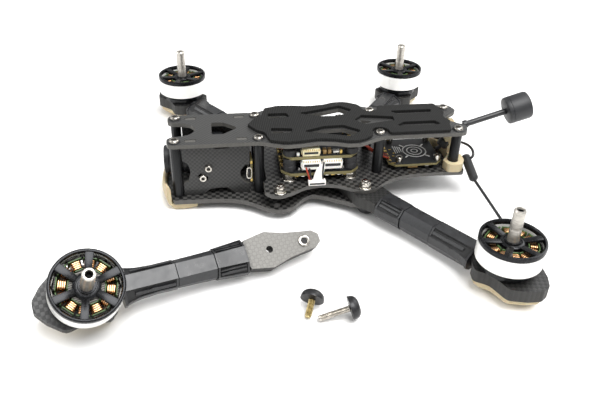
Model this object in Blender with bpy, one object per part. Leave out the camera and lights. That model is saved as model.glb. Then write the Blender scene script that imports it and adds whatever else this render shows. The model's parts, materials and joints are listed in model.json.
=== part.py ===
import math

import bmesh
import bpy
from mathutils import Matrix, Vector

MM = 0.001

# Driving dimensions, millimetres above the ground plane or across the frame.
# The finished model is lowered so that its origin is on the bottom plate's
# underside, at the crossing of the arm diagonals.
MOTOR_X = 68.0
MOTOR_Y = 89.6
ARM_ANGLE = math.radians(54.5)
ARM_THICK = 6.0
ARM_OUTER_HOLE = 78.2
ARM_INNER_HOLE = 95.0
GROUND_GAP = 4.0
BOTTOM_THICK = 2.5
MID_THICK = 2.0
TOP_THICK = 2.0
STANDOFF_R = 2.6
SCREW_X = (-70.0, -30.0, 30.0, 70.0)
SCREW_Y = 12.0
STACK_PITCH = 30.5
BELL_R = 14.0
BELL_H = 10.5
SHAFT_R = 2.5
SHAFT_ABOVE_BELL = 14.2
CAMERA_PIVOT = (-54.7, 21.5)
CAMERA_SLOT_R = 6.04
CAMERA_SLOT_ANGLE = math.radians(241.3)
CAMERA_TRAVEL = math.radians(12.0)
GAP = 0.06
HOLE_R = 1.8

# Levels of the plate stack.
Z_BOTTOM = GROUND_GAP
Z_ARM = Z_BOTTOM + BOTTOM_THICK
Z_MID = Z_ARM + ARM_THICK
Z_DECK = Z_MID + MID_THICK
Z_TOP = Z_DECK + 20.0
Z_PAD = Z_TOP + TOP_THICK


def clear_scene():
    for obj in list(bpy.data.objects):
        bpy.data.objects.remove(obj, do_unlink=True)


def material(name, rgb, rough, metal=0.0):
    mat = bpy.data.materials.new(name)
    mat.use_nodes = True
    shader = mat.node_tree.nodes["Principled BSDF"]
    shader.inputs["Base Color"].default_value = (rgb[0], rgb[1], rgb[2], 1.0)
    shader.inputs["Roughness"].default_value = rough
    shader.inputs["Metallic"].default_value = metal
    return mat


def finish(name, bm, look):
    """Close up a mesh, turn it outward and put it in the scene."""
    bmesh.ops.remove_doubles(bm, verts=bm.verts, dist=1e-6)
    bmesh.ops.triangulate(bm, faces=bm.faces)
    bmesh.ops.recalc_face_normals(bm, faces=bm.faces)
    mesh = bpy.data.meshes.new(name)
    bm.to_mesh(mesh)
    bm.free()
    obj = bpy.data.objects.new(name, mesh)
    bpy.context.scene.collection.objects.link(obj)
    rgb, rough, metal = look
    mesh.materials.append(material(name, rgb, rough, metal))
    return obj


def rounded(points, steps=3):
    """Polygon from (x, y, radius) corners, each corner turned into an arc."""
    out = []
    count = len(points)
    for i in range(count):
        x, y, r = points[i]
        here = Vector((x, y))
        back = Vector(points[i - 1][:2]) - here
        ahead = Vector(points[(i + 1) % count][:2]) - here
        angle = back.angle(ahead)
        if r <= 0.0 or angle > 3.0:
            out.append((x, y))
            continue
        run = min(r / math.tan(angle / 2), 0.48 * back.length, 0.48 * ahead.length)
        start = here + back.normalized() * run
        end = here + ahead.normalized() * run
        for k in range(steps + 1):
            t = k / steps
            p = start * (1 - t) ** 2 + here * 2 * t * (1 - t) + end * t ** 2
            out.append((p.x, p.y))
    return out


def mirrored(half):
    """Outline symmetric about the X axis from corners listed for y < 0."""
    other = [(x, -y, r) for x, y, r in reversed(half) if abs(y) > 1e-6]
    return list(half) + other


def circle(x, y, r, count=14):
    turns = [2 * math.pi * k / count for k in range(count)]
    return [(x + r * math.cos(a), y + r * math.sin(a)) for a in turns]


def prism(name, outline, holes, z0, z1, look):
    """Flat plate between two levels with through holes."""
    bm = bmesh.new()
    edges = []
    for loop in [outline] + list(holes):
        verts = [bm.verts.new((x * MM, y * MM, z0 * MM)) for x, y in loop]
        edges += [bm.edges.new((verts[i - 1], verts[i])) for i in range(len(verts))]
    bmesh.ops.triangle_fill(bm, edges=edges, use_beauty=True, normal=(0, 0, 1))
    faces = list(bm.faces)
    made = bmesh.ops.extrude_face_region(bm, geom=faces, use_keep_orig=True)
    moved = [g for g in made["geom"] if isinstance(g, bmesh.types.BMVert)]
    bmesh.ops.translate(bm, verts=moved, vec=(0, 0, (z1 - z0) * MM))
    return finish(name, bm, look)


def lathe(name, profile, count, look):
    """Closed solid turned about Z from a closed (radius, height) loop."""
    bm = bmesh.new()
    rings = []
    for r, z in profile:
        if r < 1e-6:
            rings.append([bm.verts.new((0, 0, z * MM))] * count)
            continue
        ring = []
        for k in range(count):
            a = 2 * math.pi * (k + 0.5) / count
            ring.append(bm.verts.new((r * MM * math.cos(a), r * MM * math.sin(a), z * MM)))
        rings.append(ring)
    for i in range(len(rings)):
        a, b = rings[i - 1], rings[i]
        for k in range(count):
            j = (k + 1) % count
            corners = []
            for v in (a[k], a[j], b[j], b[k]):
                if v not in corners:
                    corners.append(v)
            if len(corners) > 2:
                bm.faces.new(corners)
    return finish(name, bm, look)


def loft(name, rings, look):
    """Closed solid through rings of equal count, capped at both ends."""
    bm = bmesh.new()
    loops = []
    for ring in rings:
        loops.append([bm.verts.new([c * MM for c in p]) for p in ring])
    count = len(rings[0])
    for a, b in zip(loops, loops[1:]):
        for k in range(count):
            j = (k + 1) % count
            bm.faces.new((a[k], a[j], b[j], b[k]))
    bm.faces.new(loops[0])
    bm.faces.new(loops[-1])
    return finish(name, bm, look)


def tube(name, stations, look):
    """Sleeve-like solid: an outer and an inner ring at each station."""
    bm = bmesh.new()
    outer = [[bm.verts.new([c * MM for c in p]) for p in ring] for ring, _ in stations]
    inner = [[bm.verts.new([c * MM for c in p]) for p in ring] for _, ring in stations]
    count = len(outer[0])
    for k in range(count):
        j = (k + 1) % count
        for skin in (outer, inner):
            for a, b in zip(skin, skin[1:]):
                bm.faces.new((a[k], a[j], b[j], b[k]))
        for end in (0, -1):
            bm.faces.new((outer[end][k], outer[end][j], inner[end][j], inner[end][k]))
    return finish(name, bm, look)


def cut(obj, cutter):
    """Take a hidden cutter out of an object for good."""
    cutter.hide_render = True
    cutter.display_type = "WIRE"
    mod = obj.modifiers.new("cut", "BOOLEAN")
    mod.operation = "DIFFERENCE"
    mod.solver = "EXACT"
    mod.object = cutter
    graph = bpy.context.evaluated_depsgraph_get()
    mesh = bpy.data.meshes.new_from_object(obj.evaluated_get(graph))
    obj.modifiers.clear()
    old = obj.data
    obj.data = mesh
    bpy.data.meshes.remove(old)
    bpy.data.objects.remove(cutter, do_unlink=True)
    return obj


def add(obj, other):
    """Fuse another solid into an object for good."""
    mod = obj.modifiers.new("fuse", "BOOLEAN")
    mod.operation = "UNION"
    mod.solver = "EXACT"
    mod.object = other
    graph = bpy.context.evaluated_depsgraph_get()
    mesh = bpy.data.meshes.new_from_object(obj.evaluated_get(graph))
    obj.modifiers.clear()
    obj.data = mesh
    while len(obj.data.materials) > 1:
        obj.data.materials.pop()
    bpy.data.objects.remove(other, do_unlink=True)
    return obj


def block(name, low, high, look, bevel=0.0):
    """Box between two corners with chamfered upright edges."""
    x0, y0, z0 = low
    x1, y1, z1 = high
    corners = [(x0, y0, bevel), (x1, y0, bevel), (x1, y1, bevel), (x0, y1, bevel)]
    return prism(name, rounded(corners, 2), [], z0, z1, look)


def place(obj, matrix):
    """Give an object the frame it moves about, in metres."""
    obj.matrix_world = matrix
    return obj


def rod(name, path, radius, count, look):
    """Solid round bar through points in millimetres; radius may vary."""
    points = [Vector(p) for p in path]
    rings = []
    for i, p in enumerate(points):
        ahead = points[min(i + 1, len(points) - 1)] - points[max(i - 1, 0)]
        ahead.normalize()
        side = ahead.cross(Vector((0.31, 0.87, 0.38))).normalized()
        up = ahead.cross(side)
        r = radius[i]
        turns = [2 * math.pi * k / count for k in range(count)]
        rings.append([p + r * (math.cos(a) * side + math.sin(a) * up) for a in turns])
    return loft(name, rings, look)


CARBON = ((0.035, 0.036, 0.038), 0.42, 0.0)
SLEEVE = ((0.055, 0.058, 0.062), 0.5, 0.0)
TAN = ((0.60, 0.48, 0.28), 0.6, 0.0)
BLACK = ((0.018, 0.018, 0.020), 0.45, 0.0)
RUBBER = ((0.030, 0.030, 0.032), 0.8, 0.0)
STEEL = ((0.60, 0.58, 0.55), 0.25, 1.0)
DARK_STEEL = ((0.05, 0.05, 0.052), 0.4, 0.6)
BOARD = ((0.02, 0.022, 0.024), 0.5, 0.0)
COPPER = ((0.62, 0.30, 0.12), 0.35, 0.8)
WHITE = ((0.85, 0.85, 0.84), 0.4, 0.0)
GLASS = ((0.05, 0.02, 0.02), 0.1, 0.0)

ARM_SIGNS = (
    ("front_right", -1, 1),
    ("rear_right", 1, 1),
    ("rear_left", 1, -1),
)


def on_arm(sx, sy, u, v=0.0):
    """Point in plan at distance u from a motor toward the frame."""
    cos_a, sin_a = math.cos(ARM_ANGLE), math.sin(ARM_ANGLE)
    x = MOTOR_X - u * cos_a + v * sin_a
    y = MOTOR_Y - u * sin_a - v * cos_a
    return sx * x, sy * y


def arm_frame(sx, sy):
    """Frame of a fitted arm: motor axis up, X along the arm to the root."""
    ux, uy = -sx * math.cos(ARM_ANGLE), -sy * math.sin(ARM_ANGLE)
    spot = Matrix.Translation((sx * MOTOR_X * MM, sy * MOTOR_Y * MM, Z_ARM * MM))
    return spot @ Matrix.Rotation(math.atan2(uy, ux), 4, "Z")


def detached_frame():
    """Frame of the loose front-left arm lying beside the nose."""
    yaw, pitch, roll = math.radians(19.15), math.radians(3.2), math.radians(36.8)
    turn = Matrix.Rotation(yaw, 4, "Z") @ Matrix.Rotation(pitch, 4, "Y")
    turn = turn @ Matrix.Rotation(roll, 4, "X")
    return Matrix.Translation((-0.1053, -0.0883, 0.0108)) @ turn


def all_arm_holes(u, radius, count=12):
    spots = [on_arm(sx, sy, u) for sx in (-1, 1) for sy in (-1, 1)]
    return [circle(x, y, radius, count) for x, y in spots]


def post_holes(xs, radius=1.65):
    return [circle(x, s * SCREW_Y, radius, 10) for x in xs for s in (-1, 1)]


def tab_slots(clear):
    slots = []
    for x0, x1 in ((-65.0, -60.0), (-40.6, -35.6)):
        for y0, y1 in ((-12.5, -10.5), (10.5, 12.5)):
            low = (x0 - clear, y0 - clear)
            high = (x1 + clear, y1 + clear)
            slots.append([low, (high[0], low[1]), high, (low[0], high[1])])
    return slots


def build_bottom_plate():
    half = [
        (-75.7, -4.0, 4.0), (-74.2, -12.0, 6.0), (-72.5, -16.8, 1.4),
        (-50.0, -17.3, 20.0), (-40.0, -19.2, 12.0), (-33.0, -23.2, 12.0),
        (-26.6, -28.4, 5.0), (-20.6, -30.6, 6.0), (-14.6, -28.2, 5.0),
        (-8.6, -21.2, 4.0), (-3.6, -18.0, 3.0), (4.0, -21.6, 3.0),
        (14.0, -27.4, 4.0), (20.6, -30.4, 5.0), (26.4, -27.6, 4.0),
        (27.8, -20.0, 4.0), (28.6, -8.0, 3.0),
    ]
    holes = all_arm_holes(ARM_OUTER_HOLE, HOLE_R) + all_arm_holes(ARM_INNER_HOLE, HOLE_R)
    holes += post_holes(SCREW_X[:2]) + tab_slots(0.2)
    outline = rounded(mirrored(half), 2)
    return prism("bottom_plate", outline, holes, Z_BOTTOM, Z_ARM - GAP, CARBON)


def build_mid_plate():
    half = [
        (-26.6, -9.0, 0.5), (-26.6, -15.0, 0.8), (-28.2, -16.6, 0.8),
        (-28.4, -26.0, 3.0), (-25.2, -29.2, 3.0), (-20.4, -30.0, 5.0),
        (-14.6, -27.2, 8.0), (-8.0, -23.0, 8.0), (0.0, -21.6, 12.0),
        (8.0, -23.0, 8.0), (14.6, -27.2, 8.0), (20.4, -30.0, 5.0),
        (25.4, -28.6, 5.0), (31.0, -23.6, 14.0), (38.0, -19.2, 16.0),
        (47.0, -17.0, 16.0), (60.0, -16.6, 16.0), (75.0, -17.3, 2.0),
        (76.4, -10.0, 3.0),
    ]
    holes = all_arm_holes(ARM_OUTER_HOLE, HOLE_R)
    h = STACK_PITCH / 2
    holes += [circle(sx * h, sy * h, 1.6, 10) for sx in (-1, 1) for sy in (-1, 1)]
    holes += post_holes(SCREW_X[2:])
    outline = rounded(mirrored(half), 2)
    return prism("mid_plate", outline, holes, Z_MID + GAP, Z_DECK, CARBON)


def build_top_plate():
    half = [
        (-60.2, -1.4, 1.0), (-62.4, -5.0, 3.0), (-66.4, -6.6, 2.0),
        (-71.6, -7.2, 1.0), (-73.7, -9.0, 1.6), (-73.7, -15.6, 3.6),
        (-29.0, -15.6, 8.0), (-23.5, -18.2, 6.0), (-17.6, -20.2, 6.0),
        (-10.0, -19.6, 8.0), (-1.6, -18.2, 10.0), (6.6, -19.4, 6.0),
        (12.4, -21.6, 5.0), (18.6, -21.6, 5.0), (24.4, -18.6, 8.0),
        (31.0, -15.6, 8.0), (68.0, -15.8, 6.0), (73.6, -15.6, 3.6),
        (75.8, -9.0, 2.4), (73.6, -6.4, 1.0), (68.2, -2.2, 1.4),
    ]
    holes = post_holes(SCREW_X) + tab_slots(0.2)
    arrow = [(-52.2, -6.2, 1.0), (-46.4, -6.0, 1.4), (-40.2, -0.9, 0.6),
             (-40.2, 0.9, 0.6), (-46.4, 6.0, 1.4), (-52.2, 6.2, 1.0)]
    holes.append(rounded(arrow, 2))
    for s in (-1, 1):
        long_slot = [(-5.6, 9.2, 0.6), (-5.6, 9.9, 0.6), (2.0, 11.6, 2.0), (8.0, 13.6, 2.0),
                     (14.6, 15.8, 1.2), (19.2, 11.4, 0.8), (12.4, 6.0, 2.0), (4.0, 6.4, 2.0)]
        short_slot = [(-22.6, 6.0, 0.6), (-17.6, 6.0, 0.6), (-17.6, 9.8, 0.6), (-22.6, 9.8, 0.6)]
        for slot in (long_slot, short_slot):
            holes.append(rounded([(x, s * y, r) for x, y, r in slot], 1))
    holes.append(rounded([(23.0, -2.6, 0.6), (28.8, 0.0, 0.6), (23.0, 2.6, 0.6)], 2))
    outline = rounded(mirrored(half), 2)
    return prism("top_plate", outline, holes, Z_TOP, Z_PAD, CARBON)


def build_battery_pad():
    half = [
        (-34.4, 0.0, 0.4), (-30.4, -6.4, 2.0), (-26.6, -8.8, 2.0),
        (-25.6, -14.0, 3.0), (-24.6, -17.0, 1.0), (-17.6, -19.4, 6.0),
        (-10.0, -18.8, 8.0), (-1.6, -17.4, 10.0), (6.6, -18.6, 6.0),
        (12.4, -20.8, 5.0), (18.6, -20.8, 5.0), (25.2, -16.6, 3.0),
        (26.2, -10.4, 2.4), (29.8, -8.0, 3.0), (33.8, -10.4, 2.4),
        (34.6, -14.8, 0.8), (65.4, -14.9, 0.8), (66.4, -9.0, 3.0),
        (68.0, -5.0, 1.0), (66.0, -1.6, 1.0),
    ]
    holes = [rounded([(19.4, 0.0, 0.6), (24.0, -5.0, 1.0), (39.8, -2.0, 0.6),
                      (39.8, 2.0, 0.6), (24.0, 5.0, 1.0)], 2)]
    for s in (-1, 1):
        long_cut = [(-8.4, 9.8, 0.6), (0.0, 12.0, 2.0), (7.4, 14.4, 2.0), (14.6, 16.8, 1.5),
                    (20.6, 11.4, 1.0), (12.8, 5.0, 2.0), (3.0, 5.4, 2.0)]
        short_cut = [(-23.6, 5.0, 0.6), (-12.6, 6.4, 0.6), (-14.0, 10.6, 0.6), (-23.6, 10.6, 0.6)]
        rear_cut = [(39.0, 8.4, 0.6), (43.6, 4.4, 0.6), (60.0, 4.4, 0.6), (62.4, 8.4, 0.6)]
        for slot in (long_cut, short_cut, rear_cut):
            holes.append(rounded([(x, s * y, r) for x, y, r in slot], 1))
    return prism("battery_pad", rounded(mirrored(half), 1), holes, Z_PAD + GAP, Z_PAD + 1.6, RUBBER)


def camera_plate_outline():
    """Side plate seen along Y, as (x, z) corners."""
    low, high = Z_ARM + 0.2, Z_TOP - 0.2
    tab_low, tab_high = Z_BOTTOM + 0.3, Z_PAD - 0.2
    return [
        (-67.1, low, 0.0), (-65.0, low, 0.0), (-65.0, tab_low, 0.0), (-60.0, tab_low, 0.0),
        (-60.0, low, 0.0), (-57.4, low, 0.6), (-54.6, 9.2, 1.6), (-50.6, 9.9, 2.0),
        (-45.6, 9.7, 2.0), (-42.6, low, 0.6), (-40.6, low, 0.0), (-40.6, tab_low, 0.0),
        (-35.6, tab_low, 0.0), (-35.6, low, 0.0), (-34.6, low, 0.0), (-34.6, 11.6, 0.4),
        (-37.0, 12.4, 1.0), (-39.2, 15.2, 1.6), (-39.2, 19.0, 1.6), (-37.0, 22.2, 1.0),
        (-34.6, 23.0, 0.4), (-34.6, high, 0.0), (-35.6, high, 0.0), (-35.6, tab_high, 0.0),
        (-40.6, tab_high, 0.0), (-40.6, high, 0.0), (-42.0, high, 0.5), (-45.6, 31.9, 3.0),
        (-50.6, 31.9, 3.0), (-55.4, high, 0.5), (-60.0, high, 0.0), (-60.0, tab_high, 0.0),
        (-65.0, tab_high, 0.0), (-65.0, high, 0.0), (-67.1, high, 0.0), (-67.1, 26.0, 0.5),
        (-64.6, 24.6, 1.5), (-63.4, 20.0, 3.0), (-64.6, 14.6, 1.5), (-67.1, 13.2, 0.5),
    ]


def camera_slot():
    """Curved slot for the lower camera screw, as (x, z) points."""
    px, pz = CAMERA_PIVOT
    out = []
    for r, turn in ((CAMERA_SLOT_R + 1.25, 1), (CAMERA_SLOT_R - 1.25, -1)):
        for k in range(-4, 5):
            a = CAMERA_SLOT_ANGLE + turn * k / 4 * (CAMERA_TRAVEL + 0.22)
            out.append((px + r * math.cos(a), pz + r * math.sin(a)))
    return out


def build_camera_plates():
    plates = []
    for name, side in (("camera_plate_left", -1), ("camera_plate_right", 1)):
        px, pz = CAMERA_PIVOT
        outline = rounded(camera_plate_outline(), 2)
        holes = [circle(px, pz, 1.25, 12), camera_slot()]
        obj = prism(name, outline, holes, -1.0, 1.0, CARBON)
        stand = Matrix.Rotation(math.radians(90), 4, "X")
        place(obj, Matrix.Translation((0, side * 11.5 * MM, 0)) @ stand)
        plates.append(obj)
    return plates


def build_bumper():
    section = [
        (-61.0, 1.4), (-65.0, 0.4), (-72.0, 0.0), (-75.6, 1.2), (-77.8, 3.6),
        (-78.6, 7.0), (-78.2, 10.2), (-76.9, 10.6), (-76.2, 9.4), (-76.2, 3.7), (-61.0, 3.7),
    ]
    rings = []
    for y in (-15.6, -15.0, -12.0, -8.0, -4.0, 0.0, 4.0, 8.0, 12.0, 15.0, 15.6):
        lean = 0.011 * y * y
        drop = 0.6 if abs(y) > 15.2 else 0.0
        ring = []
        for x, z in section:
            nose = min(1.0, max(0.0, (-72.0 - x) / 4.0))
            horn = 3.2 * min(1.0, max(0.0, (abs(y) - 7.0) / 5.0)) * max(0.0, (z - 7.0) / 3.6)
            low = max(z, drop) if z < 3.0 else min(z + horn, 10.6 + horn - drop)
            ring.append((x + lean * nose, y, low))
        rings.append(ring)
    return loft("front_bumper", rings, TAN)


def arm_outline():
    half = [
        (-19.2, -2.2, 2.4), (-15.6, -6.9, 4.0), (-9.4, -12.1, 3.5), (0.8, -9.7, 6.0),
        (7.4, -12.3, 2.6), (11.0, -8.8, 2.0), (12.8, -4.3, 1.0), (67.0, -4.3, 0.1),
        (67.8, -6.5, 0.2), (77.9, -8.3, 2.5), (86.4, -5.9, 4.0), (94.2, -4.7, 3.0),
        (99.8, -4.1, 0.8), (102.8, -1.8, 0.6),
    ]
    return rounded(mirrored(half), 2)


def build_arm(name, frame):
    holes = [circle(u, 0, HOLE_R - 0.2, 12) for u in (ARM_OUTER_HOLE, ARM_INNER_HOLE)]
    holes.append(circle(0, 0, 3.0, 10))
    arm = prism("arm_" + name, arm_outline(), holes, GAP, ARM_THICK - GAP, CARBON)
    return place(arm, frame)


def build_sleeve(name, frame):
    """Two-part plastic sleeve round the arm, flared toward the motor."""
    mid = ARM_THICK / 2
    stations = []
    for u, wide, tall in ((13.9, 8.2, 0.95), (17.0, 7.1, 1.0), (21.6, 6.3, 1.0), (28.0, 5.9, 1.0),
                          (36.0, 6.0, 1.0), (36.3, 5.8, 0.95), (52.8, 6.2, 0.95), (53.1, 6.6, 1.0),
                          (66.9, 7.6, 1.0)):
        outer = [
            (u, 3.7, mid + 5.3 * tall), (u, wide, mid + 1.6), (u, wide, mid - 2.4),
            (u, 4.6, mid - 5.2 * tall), (u, -4.6, mid - 5.2 * tall), (u, -wide, mid - 2.4),
            (u, -wide, mid + 1.6), (u, -3.7, mid + 5.3 * tall),
        ]
        inner = [
            (u, 4.1, mid + 3.3), (u, 4.7, mid + 2.9), (u, 4.7, mid - 2.9), (u, 4.1, mid - 3.3),
            (u, -4.1, mid - 3.3), (u, -4.7, mid - 2.9), (u, -4.7, mid + 2.9), (u, -4.1, mid + 3.3),
        ]
        stations.append((outer, inner))
    return place(tube("sleeve_" + name, stations, SLEEVE), frame)


def build_foot(name, frame):
    """Soft foot under the motor end: short wall, then a shallow dome."""
    half = [
        (-17.9, -1.8, 2.0), (-14.6, -6.1, 2.0), (-9.0, -10.8, 2.0), (0.8, -9.1, 2.0),
        (7.0, -11.0, 2.0), (10.3, -8.2, 2.0), (12.2, -4.0, 2.0),
    ]
    plan = rounded(mirrored(half), 1)
    rings = []
    for z, scale in ((-GAP, 1.0), (-2.4, 1.0), (-3.9, 0.88), (-5.3, 0.66), (-6.2, 0.38), (-6.5, 0.16)):
        rings.append([((x + 1.0) * scale - 1.0, y * scale, z) for x, y in plan])
    return place(loft("foot_" + name, rings, TAN), frame)


def build_motor(name, frame):
    """Outrunner: fixed base and stator, turning bell and shaft."""
    z0 = ARM_THICK + GAP
    bell_low = 10.55
    bell_top = bell_low + BELL_H
    base = lathe("motor_base_" + name, [
        (2.9, z0), (11.2, z0), (11.2, z0 + 2.2), (9.8, z0 + 3.9),
        (5.0, z0 + 3.9), (5.0, bell_top - 3.4), (2.9, bell_top - 3.4),
    ], 20, BLACK)
    place(base, frame)
    teeth = []
    for k in range(12):
        a = 2 * math.pi * k / 12
        for da, r in ((-0.19, 11.9), (0.0, 12.05), (0.19, 11.9), (0.17, 8.0), (0.262, 7.0)):
            teeth.append((r * math.cos(a + da), r * math.sin(a + da)))
    stator = prism("stator_" + name, teeth, [circle(0, 0, 5.25, 24)],
                   bell_low + 0.6, bell_top - 2.6, COPPER)
    place(stator, frame)
    bell = lathe("bell_" + name, [
        (2.75, bell_top - 2.2), (12.7, bell_top - 1.9), (12.7, bell_low), (BELL_R, bell_low),
        (BELL_R, bell_top - 0.5), (BELL_R - 0.5, bell_top), (2.75, bell_top),
    ], 24, BLACK)
    windows = bmesh.new()
    for k in range(6):
        a = 2 * math.pi * (k + 0.5) / 6
        shape = []
        for r, spread in ((5.9, 0.30), (11.7, 0.415)):
            steps = (-1, 0, 1) if r > 6 else (1, -1)
            shape += [(r * math.cos(a + spread * s), r * math.sin(a + spread * s)) for s in steps]
        low = [windows.verts.new((x * MM, y * MM, (bell_top - 3.4) * MM)) for x, y in shape]
        top = [windows.verts.new((x * MM, y * MM, (bell_top + 1.0) * MM)) for x, y in shape]
        windows.faces.new(low)
        windows.faces.new(list(reversed(top)))
        for i in range(len(low)):
            windows.faces.new((low[i - 1], low[i], top[i], top[i - 1]))
    cutter = finish("window_cutter", windows, BLACK)
    place(cut(bell, cutter), frame)
    tip = bell_top + SHAFT_ABOVE_BELL
    shaft = lathe("shaft_" + name, [
        (0.0, z0 + 0.6), (SHAFT_R, z0 + 0.6), (SHAFT_R, tip - 0.5), (SHAFT_R - 0.5, tip),
        (1.5, tip), (1.5, tip - 4.0), (0.0, tip - 4.0),
    ], 14, STEEL)
    place(shaft, frame)
    return bell


def dome_screw(name, length, frame):
    """Dome-head screw, dome down, shank up from the plate face at z = 0."""
    obj = lathe(name, [
        (0.0, -2.0), (1.5, -2.0), (1.5, -3.95), (3.3, -3.5), (4.5, -2.2),
        (5.0, -0.6), (5.0, -0.05), (1.45, -0.05), (1.45, length), (0.0, length),
    ], 12, BLACK)
    return place(obj, frame)


def build_screws():
    for name, sx, sy in ARM_SIGNS:
        for place_name, u, length in (("outer", ARM_OUTER_HOLE, 13.4), ("inner", ARM_INNER_HOLE, 7.8)):
            x, y = on_arm(sx, sy, u)
            spot = Matrix.Translation((x * MM, y * MM, Z_BOTTOM * MM))
            dome_screw("dome_screw_%s_%s" % (name, place_name), length, spot)
    lying = (("dome_screw_loose_1", 7.8, (-15.4, -92.9), (-18.2, -99.9)),
             ("dome_screw_loose_2", 13.4, (-0.9, -99.7), (-12.4, -100.6)))
    for name, length, head, tip in lying:
        aim = math.atan2(tip[1] - head[1], tip[0] - head[0])
        dip = math.atan2(5.0 - 1.45, length)
        turn = Matrix.Rotation(aim, 4, "Z") @ Matrix.Rotation(math.radians(90) + dip, 4, "Y")
        rise = 5.0 * math.cos(dip) + 0.6 * math.sin(dip) + 0.05
        spot = Matrix.Translation((head[0] * MM, head[1] * MM, rise * MM))
        dome_screw(name, length, spot @ turn)


def build_standoffs():
    for i, x in enumerate(SCREW_X):
        foot = Z_ARM if x < 0 else Z_DECK
        for side, s in (("left", -1), ("right", 1)):
            obj = lathe("standoff_%s_%d" % (side, i + 1), [
                (0.0, foot + GAP), (STANDOFF_R, foot + GAP), (STANDOFF_R, Z_TOP - GAP),
                (0.0, Z_TOP - GAP),
            ], 14, BLACK)
            place(obj, Matrix.Translation((x * MM, s * SCREW_Y * MM, 0)))


def board_outline(half, notch):
    h, n = half, notch
    return rounded([
        (-h + n, -h, 0.6), (h - n, -h, 0.6), (h, -h + n, 0.6), (h, h - n, 0.6),
        (h - n, h, 0.6), (-h + n, h, 0.6), (-h, h - n, 0.6), (-h, -h + n, 0.6),
    ], 2)


def build_boards():
    p = STACK_PITCH / 2
    corners = [circle(sx * p, sy * p, 2.0, 12) for sx in (-1, 1) for sy in (-1, 1)]
    prism("esc_board", board_outline(19.4, 3.6), corners, 18.4, 20.0, BOARD)
    prism("flight_controller", board_outline(18.6, 2.6), corners, 27.1, 28.7, BOARD)
    q = 10.0
    holes = [circle(52 + sx * q, sy * q, 1.2, 10) for sx in (-1, 1) for sy in (-1, 1)]
    outline = rounded([
        (36.4, -10.4, 0.8), (39.6, -13.2, 0.8), (62.4, -13.2, 0.8), (64.2, -11.6, 0.8),
        (64.2, 11.6, 0.8), (62.4, 13.2, 0.8), (39.6, 13.2, 0.8), (36.4, 10.4, 0.8),
    ], 2)
    prism("vtx_board", outline, holes, 17.0, 18.2, BOARD)


def build_camera():
    """Tilting camera: origin on the pivot line, lens toward -X."""
    px, pz = CAMERA_PIVOT
    pivot = Matrix.Translation((px * MM, 0, pz * MM))
    body = block("camera_body", (-9.0, -9.4, -9.2), (8.0, 9.4, 8.6), BLACK, 1.6)
    lens = lathe("camera_lens", [
        (0.0, 9.3), (7.0, 9.3), (7.0, 13.6), (6.4, 14.2), (6.4, 19.6), (7.0, 20.0),
        (7.0, 21.6), (5.4, 21.6), (4.6, 20.6), (0.0, 21.2),
    ], 20, BLACK)
    place(body, pivot)
    aim = Matrix.Rotation(math.radians(-90), 4, "Y")
    place(lens, pivot @ Matrix.Translation((0, 0, -1.0 * MM)) @ aim)


def build_antennas():
    ring_r = STANDOFF_R + 0.25
    mount = prism("antenna_mount", rounded([
        (64.9, -12.0, 1.0), (66.0, -17.2, 3.2), (73.4, -17.4, 3.2), (75.8, -12.6, 1.5),
        (76.0, -6.8, 1.2), (72.6, -4.6, 1.5), (72.6, 6.4, 2.0), (75.4, 12.2, 2.0), (73.4, 17.4, 3.2),
        (66.0, 17.2, 3.2), (64.9, 12.0, 1.0), (69.2, 6.0, 2.0), (69.2, -6.0, 2.0),
    ], 3), [circle(70, -12, ring_r, 16), circle(70, 12, ring_r, 16)], Z_DECK + GAP, 19.0, TAN)
    post = loft("antenna_post", [
        [(69.4, -4.0, 18.0), (72.4, -4.0, 18.0), (72.4, 4.0, 18.0), (69.4, 4.0, 18.0)],
        [(68.8, -4.6, 23.0), (72.6, -4.6, 23.0), (72.6, 4.6, 23.0), (68.8, 4.6, 23.0)],
        [(66.2, -5.8, 28.0), (73.4, -5.8, 28.0), (73.4, 5.8, 28.0), (66.2, 5.8, 28.0)],
        [(66.2, -5.8, 33.6), (73.4, -5.8, 33.6), (73.4, 5.8, 33.6), (66.2, 5.8, 33.6)],
    ], TAN)
    add(mount, post)
    start, end = Vector((77.5, 0, 32.3)), Vector((98.0, 0, 38.8))
    along = (end - start).normalized()
    bore = rod("bore", [start - along * 22, start + along * 6], (2.5, 2.5), 16, TAN)
    cut(mount, bore)
    stops = [-16.0, -15.6, -5.2, -4.8, 0.0, (end - start).length + 1.2]
    thick = (1.9, 2.2, 2.2, 1.55, 1.55, 1.55)
    rod("antenna_mast", [start + along * s for s in stops], thick, 16, BLACK)
    aim = along.to_track_quat("Z", "Y").to_matrix().to_4x4()
    spot = Matrix.Translation((end + along * 1.4) * MM) @ aim
    cap = lathe("antenna_cap", [
        (0.0, 0.0), (5.9, 0.0), (7.1, 1.4), (7.1, 11.0), (5.9, 12.3), (0.0, 12.3),
    ], 24, BLACK)
    place(cap, spot)
    rod("receiver_antenna", [
        (78.6, -7.4, 17.8), (78.6, -7.8, 17.6), (78.4, -22.4, 13.6), (78.4, -23.0, 13.4),
        (78.5, -24.0, 13.2), (79.4, -56.0, 12.2),
    ], (1.9, 2.3, 2.3, 1.9, 0.75, 0.75), 12, BLACK)


def build_all():
    clear_scene()
    build_bottom_plate()
    build_mid_plate()
    build_top_plate()
    build_battery_pad()
    build_camera_plates()
    build_bumper()
    build_standoffs()
    frames = [(name, arm_frame(sx, sy)) for name, sx, sy in ARM_SIGNS]
    frames.append(("front_left", detached_frame()))
    for name, frame in frames:
        build_arm(name, frame)
        build_sleeve(name, frame)
        build_foot(name, frame)
        build_motor(name, frame)
    build_screws()
    build_boards()
    build_camera()
    build_antennas()
    lower = Matrix.Translation((0, 0, -GROUND_GAP * MM))
    for obj in bpy.data.objects:
        obj.matrix_world = lower @ obj.matrix_world


build_all()
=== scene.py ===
import json
import math

import bmesh
import bpy
from mathutils import Matrix, Vector


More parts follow.
